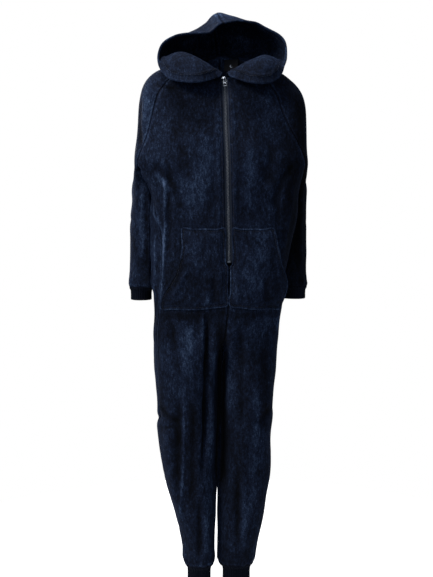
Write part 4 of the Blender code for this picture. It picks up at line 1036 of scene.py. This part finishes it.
def makeZip(line):
    teeth = zipTeeth(line)
    tapes = [zipTape("zipTapeRight", line, -1), zipTape("zipTapeLeft", line, 1)]
    stop = softened("zip_stop", "zipStop", metal, 0.0004)
    slider = softened("zip_slider", "zipSlider", metal, 0.00018)
    pull = softened("zip_pull_tab", "zipPullTab", metal, 0.00022)
    tag = neckLabel()
    for piece, node, slot in ((teeth, "zip_chain", "metal"), (tapes[0], "zip_tape_right", "tape"),
                              (tapes[1], "zip_tape_left", "tape"), (stop, "zip_stop", "metal"),
                              (slider, "zip_slider", "metal"), (pull, "zip_pull_tab", "metal"),
                              (tag, "neck_label", "label")):
        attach(piece, "pull_tab" if node == "zip_pull_tab" else "garment")
        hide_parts(node)


lamps = {  # place, aim, size, watts, colour
    "key": ((-2.6, -1.75, 1.6), (-0.05, 0.0, -0.25), 0.9, 74.0, "#fff8f0"),
    "fill": ((-1.2, -3.2, 0.7), (0.0, 0.0, -0.5), 1.4, 11.0, "#eef4ff"),
    "top": ((-0.5, -0.3, 2.0), (0.0, 0.0, 0.1), 0.8, 44.0, "#ffffff"),
    "behind": ((-1.6, 2.6, 0.9), (0.0, 0.0, -0.5), 1.6, 50.0, "#ffffff"),
}


def aim(thing, place, target):
    thing.location = place
    thing.rotation_euler = (Vector(target) - Vector(place)).to_track_quat("-Z", "Y").to_euler()


def makeStudio():
    scene = bpy.context.scene
    scene.view_settings.view_transform = "Standard"
    camera = bpy.data.objects.new("camera", bpy.data.cameras.new("camera"))
    scene.collection.objects.link(camera)
    camera.data.lens, camera.data.sensor_width = studio["lens"], studio["sensor"]
    camera.data.sensor_fit = "HORIZONTAL"
    azimuth, elevation = math.radians(studio["azimuth"]), math.radians(studio["elevation"])
    target = Vector(studio["target"])
    way = Vector((math.sin(azimuth) * math.cos(elevation), -math.cos(azimuth) * math.cos(elevation),
                  math.sin(elevation)))
    aim(camera, target + way * studio["distance"], target)
    scene.camera = camera
    for name, (place, target, size, watts, colour) in lamps.items():
        lamp = bpy.data.lights.new(name, "AREA")
        lamp.shape, lamp.size, lamp.energy, lamp.color = "DISK", size, watts, linear(colour)[:3]
        thing = bpy.data.objects.new(name, lamp)
        scene.collection.objects.link(thing)
        aim(thing, place, target)
    world = bpy.data.worlds.new("studio")
    world.use_nodes = True
    tree = world.node_tree
    tree.nodes.clear()
    ray = addNode(tree, "ShaderNodeLightPath").outputs["Is Camera Ray"]
    room = addNode(tree, "ShaderNodeBackground", {"Color": linear("#c9d4e6"), "Strength": 0.36}).outputs[0]
    backdrop = addNode(tree, "ShaderNodeBackground", {"Color": (1, 1, 1, 1), "Strength": 1.0}).outputs[0]
    mixed = addNode(tree, "ShaderNodeMixShader", None, {0: ray, 1: room, 2: backdrop}).outputs[0]
    addNode(tree, "ShaderNodeOutputWorld", None, {"Surface": mixed})
    scene.world = world
    shape = bmesh.new()
    bmesh.ops.create_circle(shape, cap_ends=True, segments=96, radius=studio["floorSize"],
                            matrix=Matrix.Translation((0, 0, cadBox[0][2] - studio["floorBelow"])))
    floor = newObject("floor", toMesh(shape, "floor"))
    paper, tree = newMaterial("paleFloor")
    ray = addNode(tree, "ShaderNodeLightPath").outputs["Is Camera Ray"]
    matte = addNode(tree, "ShaderNodeBsdfDiffuse", {"Color": linear("#e8e8e8")}).outputs[0]
    glow = addNode(tree, "ShaderNodeEmission", {"Color": (1, 1, 1, 1), "Strength": 0.85}).outputs[0]
    both = addNode(tree, "ShaderNodeAddShader", None, {0: matte, 1: glow}).outputs[0]
    mixed = addNode(tree, "ShaderNodeMixShader", None, {0: ray, 1: matte, 2: both}).outputs[0]
    addNode(tree, "ShaderNodeOutputMaterial", None, {"Surface": mixed})
    floor.data.materials.append(paper)


makeStudio()
print("studio ready")
makeGarment()
print("garment ready")

bpy.context.view_layer.update()
